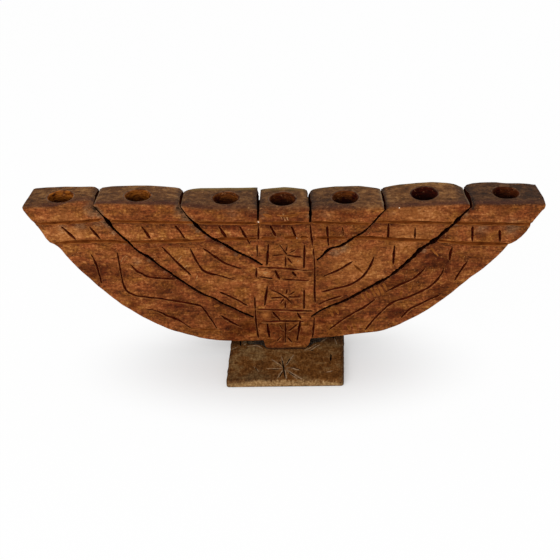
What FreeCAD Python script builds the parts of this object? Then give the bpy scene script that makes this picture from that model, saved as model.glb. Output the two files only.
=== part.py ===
import FreeCAD, Part
import math
import os

from FreeCAD import Vector

# Seven-branch candle holder: a hardwood slab, sawn and carved into branches, on a thin plinth.
# Millimetres. The origin is on the table under the middle of the plinth. X runs along the
# branches, the front faces -Y, and Z is up.

# The slab that the branches, stem and foot are cut from
slab_length = 457.0
slab_thickness = 41.5
body_height = 153.0           # from the plinth's top to the highest branch end
rear_narrowing = 4.0          # each end of the slab is cut this much shorter at the back
band_height = 16.0            # the plain band at the branch ends, above the first carved line
top_crown = 1.2               # rise of each branch end between its saw cuts
top_bevel = 2.2               # worn edges at the front and back of each branch end
mouth_bevel = 1.6             # worn edges along a saw cut's mouth, and at the slab's tips

# The foot, a stub of the same slab, let into the plinth
foot_top_width = 46.0         # where the undersides of the lowest branches meet it
foot_bottom_width = 38.0
foot_height = 9.6             # from the plinth's top to the undersides
foot_corner_radius = 3.0

# Saw cuts between the branches
kerf_width = 2.2
wide_kerf_width = 3.0         # the outermost cut on the right wandered and is wider
kerf_tip_share = 0.35         # width left at the inner end of a cut

# Candle bores
bore_diameter = 22.0
bore_depth = 20.0             # below the branch's own top

# Lines carved in the front face: two long gouged grooves, and knife cuts with pointed ends
groove_width = 3.8
groove_depth = 1.0
knife_cut_width = 2.0
knife_cut_depth = 1.4
bar_width = 2.6               # the level lines that part the stem's panels
bar_depth = 1.1
ray_width = 1.7               # the rays of the carved stars
ray_depth = 1.1
point_length = 5.0            # a line runs out to a point over this length at each end
carving_step = 9.0            # length of one flat facet of a curved line
carving_lift = 0.4            # the blade's shape starts this far in front of the face

# Plinth
base_width = 105.0
base_depth = 136.5
base_thickness = 8.0
base_corner_radius = 2.5      # upright corners
base_edge_rounding = 1.6      # top edges

# Oval seat gouged in the plinth for the foot
seat_depth = 2.5
seat_overreach = 27.0         # past each side of the foot
seat_margin = 0.6             # the oval clears the foot's corners by this much front and back

# Wood screws driven up through the plinth into the foot
screw_count = 2
screw_spacing = 22.0
screw_length = 30.0
screw_shank_diameter = 4.0
screw_core_diameter = 3.0
screw_head_diameter = 8.0
screw_head_inset = 0.4        # the heads sit this far above the plinth's underside
screw_point_length = 5.0
screw_tip_diameter = 0.6
screw_shank_length = 7.0      # unthreaded part under the head, which ends inside the foot
slot_width = 1.0
slot_depth = 1.1
screw_hole_clearance = 0.2    # around the shank
pilot_clearance = 0.05        # around the core

# One overrun serves every cut, and points closer than this count as touching
overrun = 5.0
touching = 0.001

half_length = slab_length / 2
half_thickness = slab_thickness / 2
body_top = base_thickness + body_height
band_bottom = body_top - band_height
seat_level = base_thickness - seat_depth

# Shares of half the slab's length (X) and of the body's height above the plinth (Z).
# Height of each branch's end, left to right
top_shares = (0.993, 1.0, 0.972, 0.960, 0.967, 0.982, 0.980)

# Places of the seven bores, and of the slab's ends at the bottom of the band
bore_shares = (-0.878, -0.572, -0.230, -0.009, 0.236, 0.542, 0.859)
left_band_share = -0.974
right_band_share = 0.965

# Lower outline of the slab, from under the band down to the foot
left_outline_shares = ((-0.928, 0.795), (-0.872, 0.693), (-0.783, 0.531), (-0.665, 0.346),
                       (-0.543, 0.215), (-0.416, 0.126), (-0.289, 0.071))
right_outline_shares = ((0.925, 0.795), (0.853, 0.703), (0.705, 0.472), (0.582, 0.305),
                        (0.490, 0.205), (0.394, 0.135), (0.298, 0.114))

# The cuts start straight and run down and inwards on long bends. Those beside the stem are short.
outer_left_cut_shares = ((-0.733, 1.0), (-0.687, 0.900), (-0.626, 0.780), (-0.534, 0.649),
                         (-0.438, 0.520), (-0.300, 0.370), (-0.136, 0.229))
inner_left_cut_shares = ((-0.405, 1.0), (-0.368, 0.915), (-0.315, 0.812), (-0.241, 0.738),
                         (-0.092, 0.596))
left_stem_cut_shares = ((-0.098, 1.0), (-0.099, 0.885))
right_stem_cut_shares = ((0.098, 1.0), (0.099, 0.885))
inner_right_cut_shares = ((0.401, 1.0), (0.350, 0.892), (0.306, 0.809), (0.232, 0.736),
                          (0.123, 0.625))
outer_right_cut_shares = ((0.725, 1.0), (0.678, 0.900), (0.604, 0.790), (0.525, 0.680),
                          (0.442, 0.560), (0.300, 0.402), (0.101, 0.228))
saw_cuts = (
    (outer_left_cut_shares, kerf_width),
    (inner_left_cut_shares, kerf_width),
    (left_stem_cut_shares, kerf_width),
    (right_stem_cut_shares, kerf_width),
    (inner_right_cut_shares, kerf_width),
    (outer_right_cut_shares, wide_kerf_width),
)

# Stations along a cut where its two walls are set off from its middle line
wall_station_shares = (0.0, 0.12, 0.25, 0.4, 0.55, 0.7, 0.85, 1.0)

# The two long grooves, which run out at the slab's ends or die away, across all the branches
upper_groove_shares = ((-1.010, 0.883), (-0.720, 0.902), (-0.100, 0.877), (0.350, 0.878), (1.010, 0.850))
lower_groove_shares = ((-0.950, 0.753), (-0.720, 0.768), (-0.300, 0.771), (0.300, 0.776), (0.590, 0.750),
                       (0.680, 0.730), (0.910, 0.719))

# Short slanting cuts in the band between the grooves, left to right
band_tick_shares = (
    ((-0.869, 0.864), (-0.818, 0.780)), ((-0.760, 0.862), (-0.721, 0.781)),
    ((-0.556, 0.861), (-0.526, 0.783)), ((-0.426, 0.863), (-0.390, 0.778)),
    ((-0.259, 0.857), (-0.229, 0.782)), ((-0.176, 0.853), (-0.138, 0.736)),
    ((-0.058, 0.854), (-0.036, 0.788)), ((0.024, 0.852), (0.042, 0.783)),
    ((0.163, 0.849), (0.169, 0.718)), ((0.223, 0.841), (0.226, 0.790)),
    ((0.401, 0.866), (0.401, 0.772)), ((0.504, 0.833), (0.504, 0.769)),
    ((0.726, 0.835), (0.729, 0.741)), ((0.833, 0.812), (0.837, 0.737)),
)

# The stem: broken lines down its two sides, bars across it, cuts inside its panels
stem_side_shares = (
    ((-0.104, 0.870), (-0.104, 0.766)), ((-0.111, 0.731), (-0.110, 0.651)),
    ((-0.116, 0.576), (-0.116, 0.506)), ((-0.125, 0.369), (-0.125, 0.293)),
    ((-0.125, 0.280), (-0.124, 0.223), (-0.115, 0.075)),
    ((0.097, 0.870), (0.107, 0.718)), ((0.110, 0.702), (0.115, 0.489), (0.117, 0.327)),
    ((0.113, 0.223), (0.105, 0.073)),
)
stem_bar_shares = (
    ((-0.108, 0.576), (0.103, 0.550)), ((-0.109, 0.511), (0.016, 0.486), (0.093, 0.482)),
    ((-0.122, 0.284), (0.107, 0.266)), ((-0.099, 0.189), (0.070, 0.192)),
)
panel_cut_shares = (
    ((-0.066, 0.733), (-0.074, 0.589)), ((0.075, 0.727), (0.072, 0.571)),
    ((-0.073, 0.446), (-0.086, 0.311)), ((0.072, 0.419), (0.071, 0.284)),
    ((-0.079, 0.182), (-0.070, 0.081)), ((0.056, 0.198), (0.042, 0.052)),
    ((-0.042, 0.556), (-0.026, 0.495)), ((0.025, 0.548), (0.041, 0.511)),
    ((-0.056, 0.266), (-0.025, 0.200)), ((0.043, 0.258), (0.058, 0.210)),
)

# The three carved stars: the middle of each, then the tips of its rays
star_middle_shares = ((0.004, 0.665), (0.000, 0.366), (-0.003, 0.104))
star_tip_shares = (
    ((-0.025, 0.733), (0.043, 0.696), (0.061, 0.643), (0.028, 0.604), (0.001, 0.583), (-0.053, 0.660)),
    ((0.004, 0.432), (0.036, 0.413), (0.061, 0.367), (0.032, 0.315), (-0.005, 0.286), (-0.025, 0.322),
     (-0.062, 0.361), (-0.064, 0.426)),
    ((-0.005, 0.188), (0.042, 0.168), (0.021, 0.039), (-0.005, 0.038), (-0.040, 0.049), (-0.031, 0.171)),
)
ray_start_share = 0.15        # of the way from the middle to the tip

# Long knife cuts that follow the branches' bends
left_branch_line_shares = (
    ((-0.765, 0.680), (-0.750, 0.621), (-0.733, 0.479)),
    ((-0.661, 0.692), (-0.649, 0.487), (-0.626, 0.408), (-0.587, 0.384), (-0.399, 0.335),
     (-0.333, 0.291), (-0.281, 0.140)),
    ((-0.613, 0.611), (-0.573, 0.544), (-0.499, 0.509), (-0.438, 0.501)),
    ((-0.565, 0.287), (-0.509, 0.269), (-0.438, 0.212), (-0.389, 0.153)),
    ((-0.267, 0.245), (-0.182, 0.154)),
    ((-0.484, 0.723), (-0.376, 0.529)),
    ((-0.373, 0.708), (-0.329, 0.565), (-0.271, 0.526), (-0.203, 0.490)),
    ((-0.324, 0.710), (-0.253, 0.624), (-0.176, 0.570)),
    ((-0.266, 0.412), (-0.157, 0.313)),
)
right_branch_line_shares = (
    ((0.427, 0.720), (0.423, 0.587)),
    ((0.264, 0.615), (0.201, 0.550), (0.148, 0.512)),
    ((0.349, 0.652), (0.313, 0.525), (0.251, 0.449), (0.143, 0.404)),
    ((0.129, 0.312), (0.222, 0.372)),
    ((0.653, 0.702), (0.645, 0.617)),
    ((0.717, 0.609), (0.671, 0.478)),
    ((0.550, 0.559), (0.485, 0.471), (0.396, 0.395)),
    ((0.622, 0.564), (0.615, 0.517), (0.579, 0.441), (0.491, 0.361), (0.427, 0.324), (0.351, 0.199),
     (0.320, 0.130)),
    ((0.615, 0.375), (0.532, 0.306), (0.464, 0.215)),
    ((0.358, 0.353), (0.270, 0.250), (0.175, 0.135)),
)


def front_point(x_share, z_share):
    """A point of the front outline, drawn in the plane of the slab's front face."""
    return Vector(x_share * half_length, -half_thickness, base_thickness + z_share * body_height)


def spline_edge(points):
    curve = Part.BSplineCurve()
    curve.interpolate(points)
    return curve.toShape()


def line_edge(start, end):
    return Part.LineSegment(start, end).toShape()


def through_slab(edges, beyond=0):
    """Extrude a closed front outline from the front face to the back face, or past both by beyond."""
    face = Part.Face(Part.Wire(edges))
    face.translate(Vector(0, -beyond, 0))
    return face.extrude(Vector(0, slab_thickness + 2 * beyond, 0))


def lies_level(edge, level):
    return all(abs(v.Point.z - level) < touching for v in edge.Vertexes)


def line_x(upper, lower, level):
    """X at a level on the straight line through two points of the front outline."""
    along = (level - upper.z) / (lower.z - upper.z)
    return upper.x + along * (lower.x - upper.x)


def band_corner(x_share):
    return Vector(x_share * half_length, -half_thickness, band_bottom)


def lower_slab():
    """Everything under the band: the bowl-shaped sweep of the branches and the foot."""
    left = [band_corner(left_band_share)] + [front_point(x, z) for x, z in left_outline_shares]
    right = [band_corner(right_band_share)] + [front_point(x, z) for x, z in right_outline_shares]
    shoulder_level = base_thickness + foot_height
    left_shoulder = Vector(-foot_top_width / 2, -half_thickness, shoulder_level)
    right_shoulder = Vector(foot_top_width / 2, -half_thickness, shoulder_level)
    left_toe = Vector(-foot_bottom_width / 2, -half_thickness, seat_level)
    right_toe = Vector(foot_bottom_width / 2, -half_thickness, seat_level)
    slab = through_slab([
        spline_edge(left + [left_shoulder]),
        line_edge(left_shoulder, left_toe),
        line_edge(left_toe, right_toe),
        line_edge(right_toe, right_shoulder),
        spline_edge([right_shoulder] + right[::-1]),
        line_edge(right[0], left[0]),
    ])
    toes = [edge for edge in slab.Edges
            if lies_level(edge, seat_level) and edge.BoundBox.XLength < touching]
    return slab.makeFillet(foot_corner_radius, toes)


def branch_sides():
    """The lines that bound the branch ends: the slab's two ends and the cuts between them.

    Each has two points of a straight line down the band, and half the width of the cut there."""
    first_level = base_thickness + top_shares[0] * body_height - top_crown
    last_level = base_thickness + top_shares[-1] * body_height - top_crown
    left_tip = Vector(-half_length, -half_thickness, first_level)
    right_tip = Vector(half_length, -half_thickness, last_level)
    sides = [(left_tip, band_corner(left_band_share), 0)]
    for path_shares, width in saw_cuts:
        upper, lower = [front_point(x, z) for x, z in path_shares[:2]]
        sides.append((upper, lower, width / 2))
    sides.append((right_tip, band_corner(right_band_share), 0))
    return sides


def branch_end(index):
    """The plain band at one branch's end, crowned between its saw cuts and worn at the edges."""
    level = base_thickness + top_shares[index] * body_height
    edge_level = level - top_crown
    left, right = [], []
    for points, side, inwards in ((left, index, 1), (right, index + 1, -1)):
        upper, lower, half_width = branch_sides()[side]
        worn = mouth_bevel + half_width
        for level_here, inset in ((band_bottom, 0), (edge_level - worn, 0), (edge_level, worn)):
            x = line_x(upper, lower, level_here) + inwards * inset
            points.append(Vector(x, -half_thickness, level_here))
    crest = Vector((left[-1].x + right[-1].x) / 2, -half_thickness, level)
    block = through_slab([
        line_edge(left[0], left[1]),
        line_edge(left[1], left[2]),
        Part.Arc(left[2], crest, right[2]).toShape(),
        line_edge(right[2], right[1]),
        line_edge(right[1], right[0]),
        line_edge(right[0], left[0]),
    ])
    waste = [worn_edge(level, -1), worn_edge(level, 1)]
    if index == 0:
        waste.append(end_waste(-1))
    if index == len(top_shares) - 1:
        waste.append(end_waste(1))
    return block.cut(waste)


def worn_edge(level, side):
    """What wear has taken off the front (-1) or back (1) edge of the branch ends at one level."""
    face_y = side * half_thickness
    far_x = -half_length - overrun
    points = [
        Vector(far_x, face_y + side * overrun, level - top_bevel - overrun),
        Vector(far_x, face_y + side * overrun, level + overrun),
        Vector(far_x, face_y - side * (top_bevel + overrun), level + overrun),
    ]
    face = Part.Face(Part.makePolygon(points + points[:1]))
    return face.extrude(Vector(slab_length + 2 * overrun, 0, 0))


def end_waste(side):
    """The wedge sawn off an end of the slab, which leaves it shorter at the back."""
    outer = side * (half_length + overrun)
    points = [
        Vector(side * half_length, -half_thickness, 0),
        Vector(outer, -half_thickness, 0),
        Vector(outer, half_thickness, 0),
        Vector(side * (half_length - rear_narrowing), half_thickness, 0),
    ]
    face = Part.Face(Part.makePolygon(points + points[:1]))
    return face.extrude(Vector(0, 0, body_top + overrun))


def saw_cut(path_shares, width):
    """A cut right through the slab: two walls set off from a middle line, closing to a narrow tip."""
    points = [front_point(x, z) for x, z in path_shares]
    above = body_top + overrun
    points.insert(0, Vector(line_x(points[0], points[1], above), -half_thickness, above))
    middle = Part.BSplineCurve()
    middle.interpolate(points)
    first, last = middle.FirstParameter, middle.LastParameter
    left_wall, right_wall = [], []
    for share in wall_station_shares:
        at = first + share * (last - first)
        tangent = middle.tangent(at)[0]
        across = Vector(tangent.z, 0, -tangent.x)
        half_width = width / 2 * (1 - (1 - kerf_tip_share) * share ** 3)
        left_wall.append(middle.value(at) - across * half_width)
        right_wall.append(middle.value(at) + across * half_width)
    return through_slab([
        spline_edge(left_wall),
        line_edge(left_wall[-1], right_wall[-1]),
        spline_edge(right_wall[::-1]),
        line_edge(right_wall[0], left_wall[0]),
    ], overrun)


def carved_line(points, width, depth):
    """A V cut in the front face that follows some points and runs out to a point at each end."""
    if len(points) > 2:
        curve = spline_edge(points)
        points = curve.discretize(Number=max(3, round(curve.Length / carving_step) + 1))
    start_run = points[1] - points[0]
    end_run = points[-2] - points[-1]
    full_start = points[0] + start_run * min(point_length / start_run.Length, 1 / 3)
    full_end = points[-1] + end_run * min(point_length / end_run.Length, 1 / 3)
    path = [full_start] + points[1:-1] + [full_end]
    lift = Vector(0, -carving_lift, 0)
    half_width = width / 2 * (depth + carving_lift) / depth
    sections = [Part.Vertex(points[0] + lift)]
    for before, here, after in zip(points[:1] + path, path, path[1:] + points[-1:]):
        arriving = (here - before).normalize()
        leaving = (after - here).normalize()
        heading = (arriving + leaving).normalize()
        across = Vector(heading.z, 0, -heading.x) * (half_width / heading.dot(leaving))
        corners = [here + across + lift, here - across + lift, here + Vector(0, depth, 0)]
        sections.append(Part.makePolygon(corners + corners[:1]))
    sections.append(Part.Vertex(points[-1] + lift))
    return Part.makeLoft(sections, True, True)


def carved_lines(lines_shares, width, depth):
    return [carved_line([front_point(x, z) for x, z in line], width, depth) for line in lines_shares]


def star_rays():
    rays = []
    for middle_shares, tips_shares in zip(star_middle_shares, star_tip_shares):
        middle = front_point(*middle_shares)
        for tip_shares in tips_shares:
            tip = front_point(*tip_shares)
            rays.append(carved_line([middle + (tip - middle) * ray_start_share, tip], ray_width, ray_depth))
    return rays


def front_carving():
    """All the lines carved in the front face."""
    return (carved_lines([upper_groove_shares, lower_groove_shares], groove_width, groove_depth)
            + carved_lines(band_tick_shares, knife_cut_width, knife_cut_depth)
            + carved_lines(stem_side_shares, knife_cut_width, knife_cut_depth)
            + carved_lines(stem_bar_shares, bar_width, bar_depth)
            + carved_lines(panel_cut_shares, knife_cut_width, knife_cut_depth)
            + carved_lines(left_branch_line_shares, knife_cut_width, knife_cut_depth)
            + carved_lines(right_branch_line_shares, knife_cut_width, knife_cut_depth)
            + star_rays())


def bore_axis_points():
    return [(share * half_length, base_thickness + top * body_height)
            for share, top in zip(bore_shares, top_shares)]


def screw_places():
    first = -(screw_count - 1) / 2
    return [(first + step) * screw_spacing for step in range(screw_count)]


def carved_body():
    body = lower_slab()
    ends = [branch_end(index) for index in range(len(top_shares))]
    body = body.fuse(ends).removeSplitter()
    cuts = [saw_cut(path_shares, width) for path_shares, width in saw_cuts]
    bores = [Part.makeCylinder(bore_diameter / 2, bore_depth + overrun, Vector(x, 0, top - bore_depth))
             for x, top in bore_axis_points()]
    pilots = []
    for x in screw_places():
        shank = Part.makeCylinder(screw_shank_diameter / 2 + screw_hole_clearance,
                                  screw_head_inset + screw_shank_length, Vector(x, 0, 0))
        core = Part.makeCylinder(screw_core_diameter / 2 + pilot_clearance,
                                 screw_head_inset + screw_length + pilot_clearance, Vector(x, 0, 0))
        pilots += [shank, core]
    return body.cut(cuts + bores + pilots).cut(front_carving())


def base():
    plate = Part.makeBox(base_width, base_depth, base_thickness,
                         Vector(-base_width / 2, -base_depth / 2, 0))
    upright = [edge for edge in plate.Edges if edge.BoundBox.ZLength > base_thickness / 2]
    plate = plate.makeFillet(base_corner_radius, upright)
    rim = [edge for edge in plate.Edges if lies_level(edge, base_thickness)]
    plate = plate.makeFillet(base_edge_rounding, rim)
    return plate.cut([foot_seat()] + [screw_hole(x) for x in screw_places()])


def foot_seat():
    """An oval hollow whose curve passes just outside the foot's four corners."""
    half_foot = foot_bottom_width / 2
    half_long = half_foot + seat_overreach
    half_short = (half_thickness + seat_margin) / math.sqrt(1 - (half_foot / half_long) ** 2)
    oval = Part.Ellipse(Vector(0, 0, seat_level), half_long, half_short)
    face = Part.Face(Part.Wire(oval.toShape()))
    return face.extrude(Vector(0, 0, seat_depth + overrun))


def screw_head(x):
    """The head's cone, which the countersink shares."""
    height = (screw_head_diameter - screw_shank_diameter) / 2
    return Part.makeCone(screw_head_diameter / 2, screw_shank_diameter / 2, height,
                         Vector(x, 0, screw_head_inset))


def screw_hole(x):
    """A clearance hole up through the plinth, countersunk from below."""
    radius = screw_shank_diameter / 2 + screw_hole_clearance
    shank = Part.makeCylinder(radius, base_thickness, Vector(x, 0, 0))
    mouth = Part.makeCylinder(screw_head_diameter / 2, screw_head_inset, Vector(x, 0, 0))
    return shank.fuse([mouth, screw_head(x)])


def base_screw(x):
    """A slotted countersunk wood screw, point up, its thread left as a plain core."""
    shank = Part.makeCylinder(screw_shank_diameter / 2, screw_shank_length, Vector(x, 0, screw_head_inset))
    core_length = screw_length - screw_point_length
    core = Part.makeCylinder(screw_core_diameter / 2, core_length, Vector(x, 0, screw_head_inset))
    point = Part.makeCone(screw_core_diameter / 2, screw_tip_diameter / 2, screw_point_length,
                          Vector(x, 0, screw_head_inset + core_length))
    slot = Part.makeBox(screw_head_diameter + 2 * overrun, slot_width, slot_depth + screw_head_inset,
                        Vector(x - screw_head_diameter / 2 - overrun, -slot_width / 2, 0))
    return screw_head(x).fuse([shank, core, point]).removeSplitter().cut(slot)


def export(name, shape):
    print(name, "solids", len(shape.Solids), "valid", shape.isValid(), "volume", round(shape.Volume, 1))
    shape.exportStep("parts/" + name + ".step")


os.makedirs("parts", exist_ok=True)
export("carved_body", carved_body())
export("base", base())
export("base_screws", Part.makeCompound([base_screw(x) for x in screw_places()]))
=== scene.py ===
import math

import bpy
from mathutils import Matrix, Vector, noise


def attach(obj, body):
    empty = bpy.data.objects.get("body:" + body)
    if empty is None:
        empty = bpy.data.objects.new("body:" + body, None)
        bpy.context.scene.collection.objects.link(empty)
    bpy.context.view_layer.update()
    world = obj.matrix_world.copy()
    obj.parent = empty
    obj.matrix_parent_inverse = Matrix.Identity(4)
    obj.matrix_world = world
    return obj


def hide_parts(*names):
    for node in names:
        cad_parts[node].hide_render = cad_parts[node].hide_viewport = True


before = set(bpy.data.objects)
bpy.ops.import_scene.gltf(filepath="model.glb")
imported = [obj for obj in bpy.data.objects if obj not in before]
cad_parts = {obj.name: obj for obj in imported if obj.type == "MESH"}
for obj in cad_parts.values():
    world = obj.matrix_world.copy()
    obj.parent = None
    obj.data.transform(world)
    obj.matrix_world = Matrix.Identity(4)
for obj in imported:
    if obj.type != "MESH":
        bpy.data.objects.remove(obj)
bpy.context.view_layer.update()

# Sizes are given in millimetres and turned into metres where they are used.
MM = 0.001
MERGE_DISTANCE = 0.001
SMOOTH_ANGLE = math.radians(32)

# The slab, the plinth and their fit, as the frame has them
FACE = 20.75                  # half the slab's thickness: its front face is at y -20.75
BLANK_LENGTH = 470.0
BLANK_TOP = 158.0
PLINTH_WIDTH = 105.0
PLINTH_DEPTH = 136.5
PLINTH_TOP = 8.0
SEAT_LEVEL = 5.5
REAR_NARROWING = 4.0
ARRIS_WEAR = 0.9
OUTLINE_GROWTH = 1.2          # the sawn outline stands this far outside what the worn arris shows
BORE_RADIUS = 11.0
BORE_DEPTH = 20.0
BORE_PLACES = (-200.6, -130.7, -52.6, -2.1, 53.9, 123.8, 196.3)
BORE_TOPS = (159.9, 161.0, 156.7, 154.9, 156.0, 158.2, 157.9)
SCREW_PLACES = (-11.0, 11.0)

# How far each bore's mouth has wandered to the right and to the rear, and how oval it is worn
BORE_WANDER = ((0.3, 0.9, 1.06), (-0.2, -1.0, 1.12), (-0.3, 0.9, 1.04), (0.0, 0.7, 1.03), (0.0, 1.5, 1.0),
               (0.4, 1.8, 1.01), (0.2, 1.7, 0.97))


# Camera and lines of sight

FRAME_SIZE = 560
FOCAL_PIXELS = 1362.3
PIXELS_PER_MM = 1.13          # on the slab's front face
SENSOR_WIDTH = 36.0
CAMERA_PLACE = Vector((14.3, -1069.6, 734.5))
CAMERA_PITCH = math.radians(31.838)
CAMERA_YAW = math.radians(-1.072)
CAMERA_ROLL = math.radians(-1.096)


def camera_axes():
    """The camera's right, upward and forward directions."""
    forward = Vector((
        math.sin(CAMERA_YAW) * math.cos(CAMERA_PITCH),
        math.cos(CAMERA_YAW) * math.cos(CAMERA_PITCH),
        -math.sin(CAMERA_PITCH),
    ))
    level = Vector((math.cos(CAMERA_YAW), -math.sin(CAMERA_YAW), 0))
    above = level.cross(forward)
    right = math.cos(CAMERA_ROLL) * level + math.sin(CAMERA_ROLL) * above
    upward = math.cos(CAMERA_ROLL) * above - math.sin(CAMERA_ROLL) * level
    return right, upward, forward


def set_up_camera():
    right, upward, forward = camera_axes()
    bpy.ops.object.camera_add()
    camera = bpy.context.object
    camera.name = "camera"
    turned = Matrix((right, upward, -forward)).transposed().to_4x4()
    camera.matrix_world = Matrix.Translation(CAMERA_PLACE * MM) @ turned
    camera.data.sensor_width = SENSOR_WIDTH
    camera.data.lens = FOCAL_PIXELS / FRAME_SIZE * SENSOR_WIDTH
    bpy.context.scene.camera = camera


def sight_line(pixel):
    right, upward, forward = camera_axes()
    across = (pixel[0] - FRAME_SIZE / 2) / FOCAL_PIXELS
    down = (pixel[1] - FRAME_SIZE / 2) / FOCAL_PIXELS
    return forward + right * across - upward * down


def on_upright(pixel, y=-FACE):
    """Where the line of sight through a pixel meets an upright plane, as (x, z)."""
    line = sight_line(pixel)
    place = CAMERA_PLACE + line * ((y - CAMERA_PLACE.y) / line.y)
    return place.x, place.z


def on_level(pixel, z):
    """Where the line of sight through a pixel meets a level plane, as (x, y)."""
    line = sight_line(pixel)
    place = CAMERA_PLACE + line * ((z - CAMERA_PLACE.z) / line.z)
    return place.x, place.y


# Places read off the photograph, in pixels of the 560 px frame

# Lower outline of the slab's front face, from each tip to the foot
LEFT_OUTLINE = (
    (23.2, 208.6), (24.6, 212.2), (28.2, 216.4), (32.2, 220.6), (35.6, 223.4), (37.2, 225.8), (42, 231.8),
    (46.6, 237.8), (50.6, 241.4), (54.8, 243), (58.4, 245.6), (62.1, 249), (67.2, 255.2), (73, 261.2),
    (79.2, 267.4), (85.8, 273.5), (92.8, 279.5), (99.4, 285.6), (106.8, 291.4), (114.4, 297.5),
    (122.6, 303.6), (129, 307.4), (136, 311.6), (144, 316.2), (152, 320.2), (160, 324), (168, 327.4),
    (176, 330), (184, 332.1), (192, 334.2), (200, 336.6), (208, 338), (216, 339.2), (226, 339.8),
    (240, 340), (252, 339.8),
)
RIGHT_OUTLINE = (
    (545.6, 206.4), (544.6, 208.8), (541.8, 211.2), (538.2, 215.4), (534.4, 219.8), (532.8, 222),
    (531.2, 223.6), (529.8, 227.2), (526.4, 232), (521, 237), (516, 240.4), (511, 242.6), (507.6, 243.6),
    (504.6, 247.4), (501.6, 250.6), (496, 256), (488.6, 262.5), (481.4, 268.5), (474.2, 273.6),
    (469.8, 276.4), (467, 278.6), (458.2, 285.6), (450.6, 291.8), (442.8, 297.9), (434.2, 303.8),
    (425, 310.1), (416, 315), (407.5, 319.4), (400, 323), (392, 326.4), (384, 329.4), (376.4, 331.5),
    (366, 332.7), (357, 333.5), (346, 334.8), (332, 336.4), (320, 337.6),
)

# Sides of the foot's front face, from the wings down to the seat
LEFT_FOOT = ((263.6, 340.2), (264.6, 343.6), (265.8, 346.4), (268.2, 349), (271.5, 351))
RIGHT_FOOT = ((310.4, 338.8), (309.8, 342.4), (308, 345.6), (304.8, 348.2), (301, 350.4))

# Front and rear edges of the seven branch ends, left to right
FRONT_EDGES = (
    ((24, 207.2), (60, 206.7), (93, 205.8)),
    ((95.5, 203.7), (112, 203.6), (130, 204), (150, 204.3), (178.5, 204.5)),
    ((181, 205.2), (190, 207.1), (203, 208.4), (227, 208.8), (256, 207.8)),
    ((262, 209.2), (275, 210.6), (290, 210.6), (306, 209.4)),
    ((312, 209.2), (332, 209.8), (357, 209.3), (384, 207.2)),
    ((388, 207.6), (418, 206.6), (449, 205), (469, 203.9)),
    ((474, 204.2), (500, 204.5), (526, 204.1), (545, 203.8)),
)
REAR_EDGES = (
    ((37, 188.2), (48, 187.2), (66, 186.5), (90, 186.5), (95, 186.9), (98.3, 188.6)),
    ((99.5, 189), (102.5, 187.4), (112, 186.2), (136, 185.2), (160, 186), (176, 187.1), (180, 187.9),
     (183, 190.6)),
    ((183.4, 191.2), (187.5, 190), (192, 189), (200, 188.2), (256, 187.5)),
    ((260.5, 189.7), (264, 188.9), (272, 188), (284, 187.2), (296, 188), (304, 188.8), (306.6, 189.9),
     (307.8, 191.5)),
    ((311, 190.4), (313.5, 189.2), (320, 188), (336, 186.1), (360, 186), (376, 187.9), (381, 188.9)),
    ((381, 189.4), (383.4, 187.5), (392, 185.6), (400, 184.3), (416, 182.8), (432, 182), (448, 183),
     (455, 184.2), (458.4, 185.8), (462.6, 187.4)),
    ((463.4, 187.2), (466, 184.8), (472, 183), (480, 182.2), (496, 182), (504, 182.6), (520, 182.9),
     (528, 183.6), (533, 184.4)),
)

# The saw cuts: path on the front face, rough places where the blade tore the wood
OUTER_LEFT_CUT = (
    (92, 203.6), (93, 205.8), (95, 207.8), (98.4, 211.2), (102, 215.2), (106.2, 219.6), (109.4, 223.8),
    (113, 228.6), (117, 232.4), (125, 239.3), (137.5, 250.9), (150, 258.3), (158.4, 265.1), (169.1, 272),
    (176, 277.4), (186, 283.5), (195.1, 289.6), (203.6, 294.2), (213.5, 298), (222.7, 303.4),
    (232.6, 307.6), (241.8, 312.2), (253.8, 317.2),
)
INNER_LEFT_CUT = (
    (178.4, 204.8), (180.8, 208.2), (184.4, 212.8), (189, 218.2), (193.4, 222.4), (197.4, 226.8),
    (203.6, 232.8), (215.8, 240.3), (223.5, 244.5), (232.6, 249.8), (241.8, 254.4), (251.8, 258.8),
    (262.7, 265),
)
LEFT_STEM_CUT = ((257.8, 207.4), (257.8, 214), (258.1, 220.4))
RIGHT_STEM_CUT = ((310.6, 208.4), (310.6, 215), (310.2, 222.4))
INNER_RIGHT_CUT = (
    (385.7, 208.2), (384.2, 211.2), (380.2, 215), (375.7, 220), (369.6, 226.9), (363.5, 232.6),
    (355.1, 237.2), (345.1, 243.7), (339.8, 246.4), (332.1, 248.3), (326.8, 251.4), (322.2, 256.3),
    (316.8, 260.2),
)
OUTER_RIGHT_CUT = (
    (471.6, 205.2), (469.4, 208.8), (465.8, 212.2), (460.6, 217.2), (456.6, 221.4), (451, 226.8),
    (440.7, 235.7), (433.6, 241), (420, 249.8), (413.2, 256.7), (405.6, 263.6), (397.2, 270.5),
    (388, 277.4), (378, 282.7), (367.3, 288.5), (358.1, 293.8), (347.4, 299.2), (336.7, 303.8),
    (326.8, 307.6), (319.1, 311.4), (311, 316.8),
)
CUT_PATHS = (OUTER_LEFT_CUT, INNER_LEFT_CUT, LEFT_STEM_CUT, RIGHT_STEM_CUT, INNER_RIGHT_CUT,
             OUTER_RIGHT_CUT)

# Where the cuts open along the rear of the branch ends
REAR_MOUTHS = ((99.4, 189.6), (183.2, 190.8), (258.9, 189), (308.8, 190.6), (380.8, 189.4), (463.3, 187.6))

# To which side each cut opens wider at the top, and how its rear end leans under that, in millimetres
MOUTH_SIDES = (0, 0, -1, 1, 0, 0)
REAR_LEANS = (0, 0, 0.5, -1.9, 0, 0)
REAR_PINCHES = (0, 0, 0, 0.6, 0, 0)


# Small helpers for working on one object at a time

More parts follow.
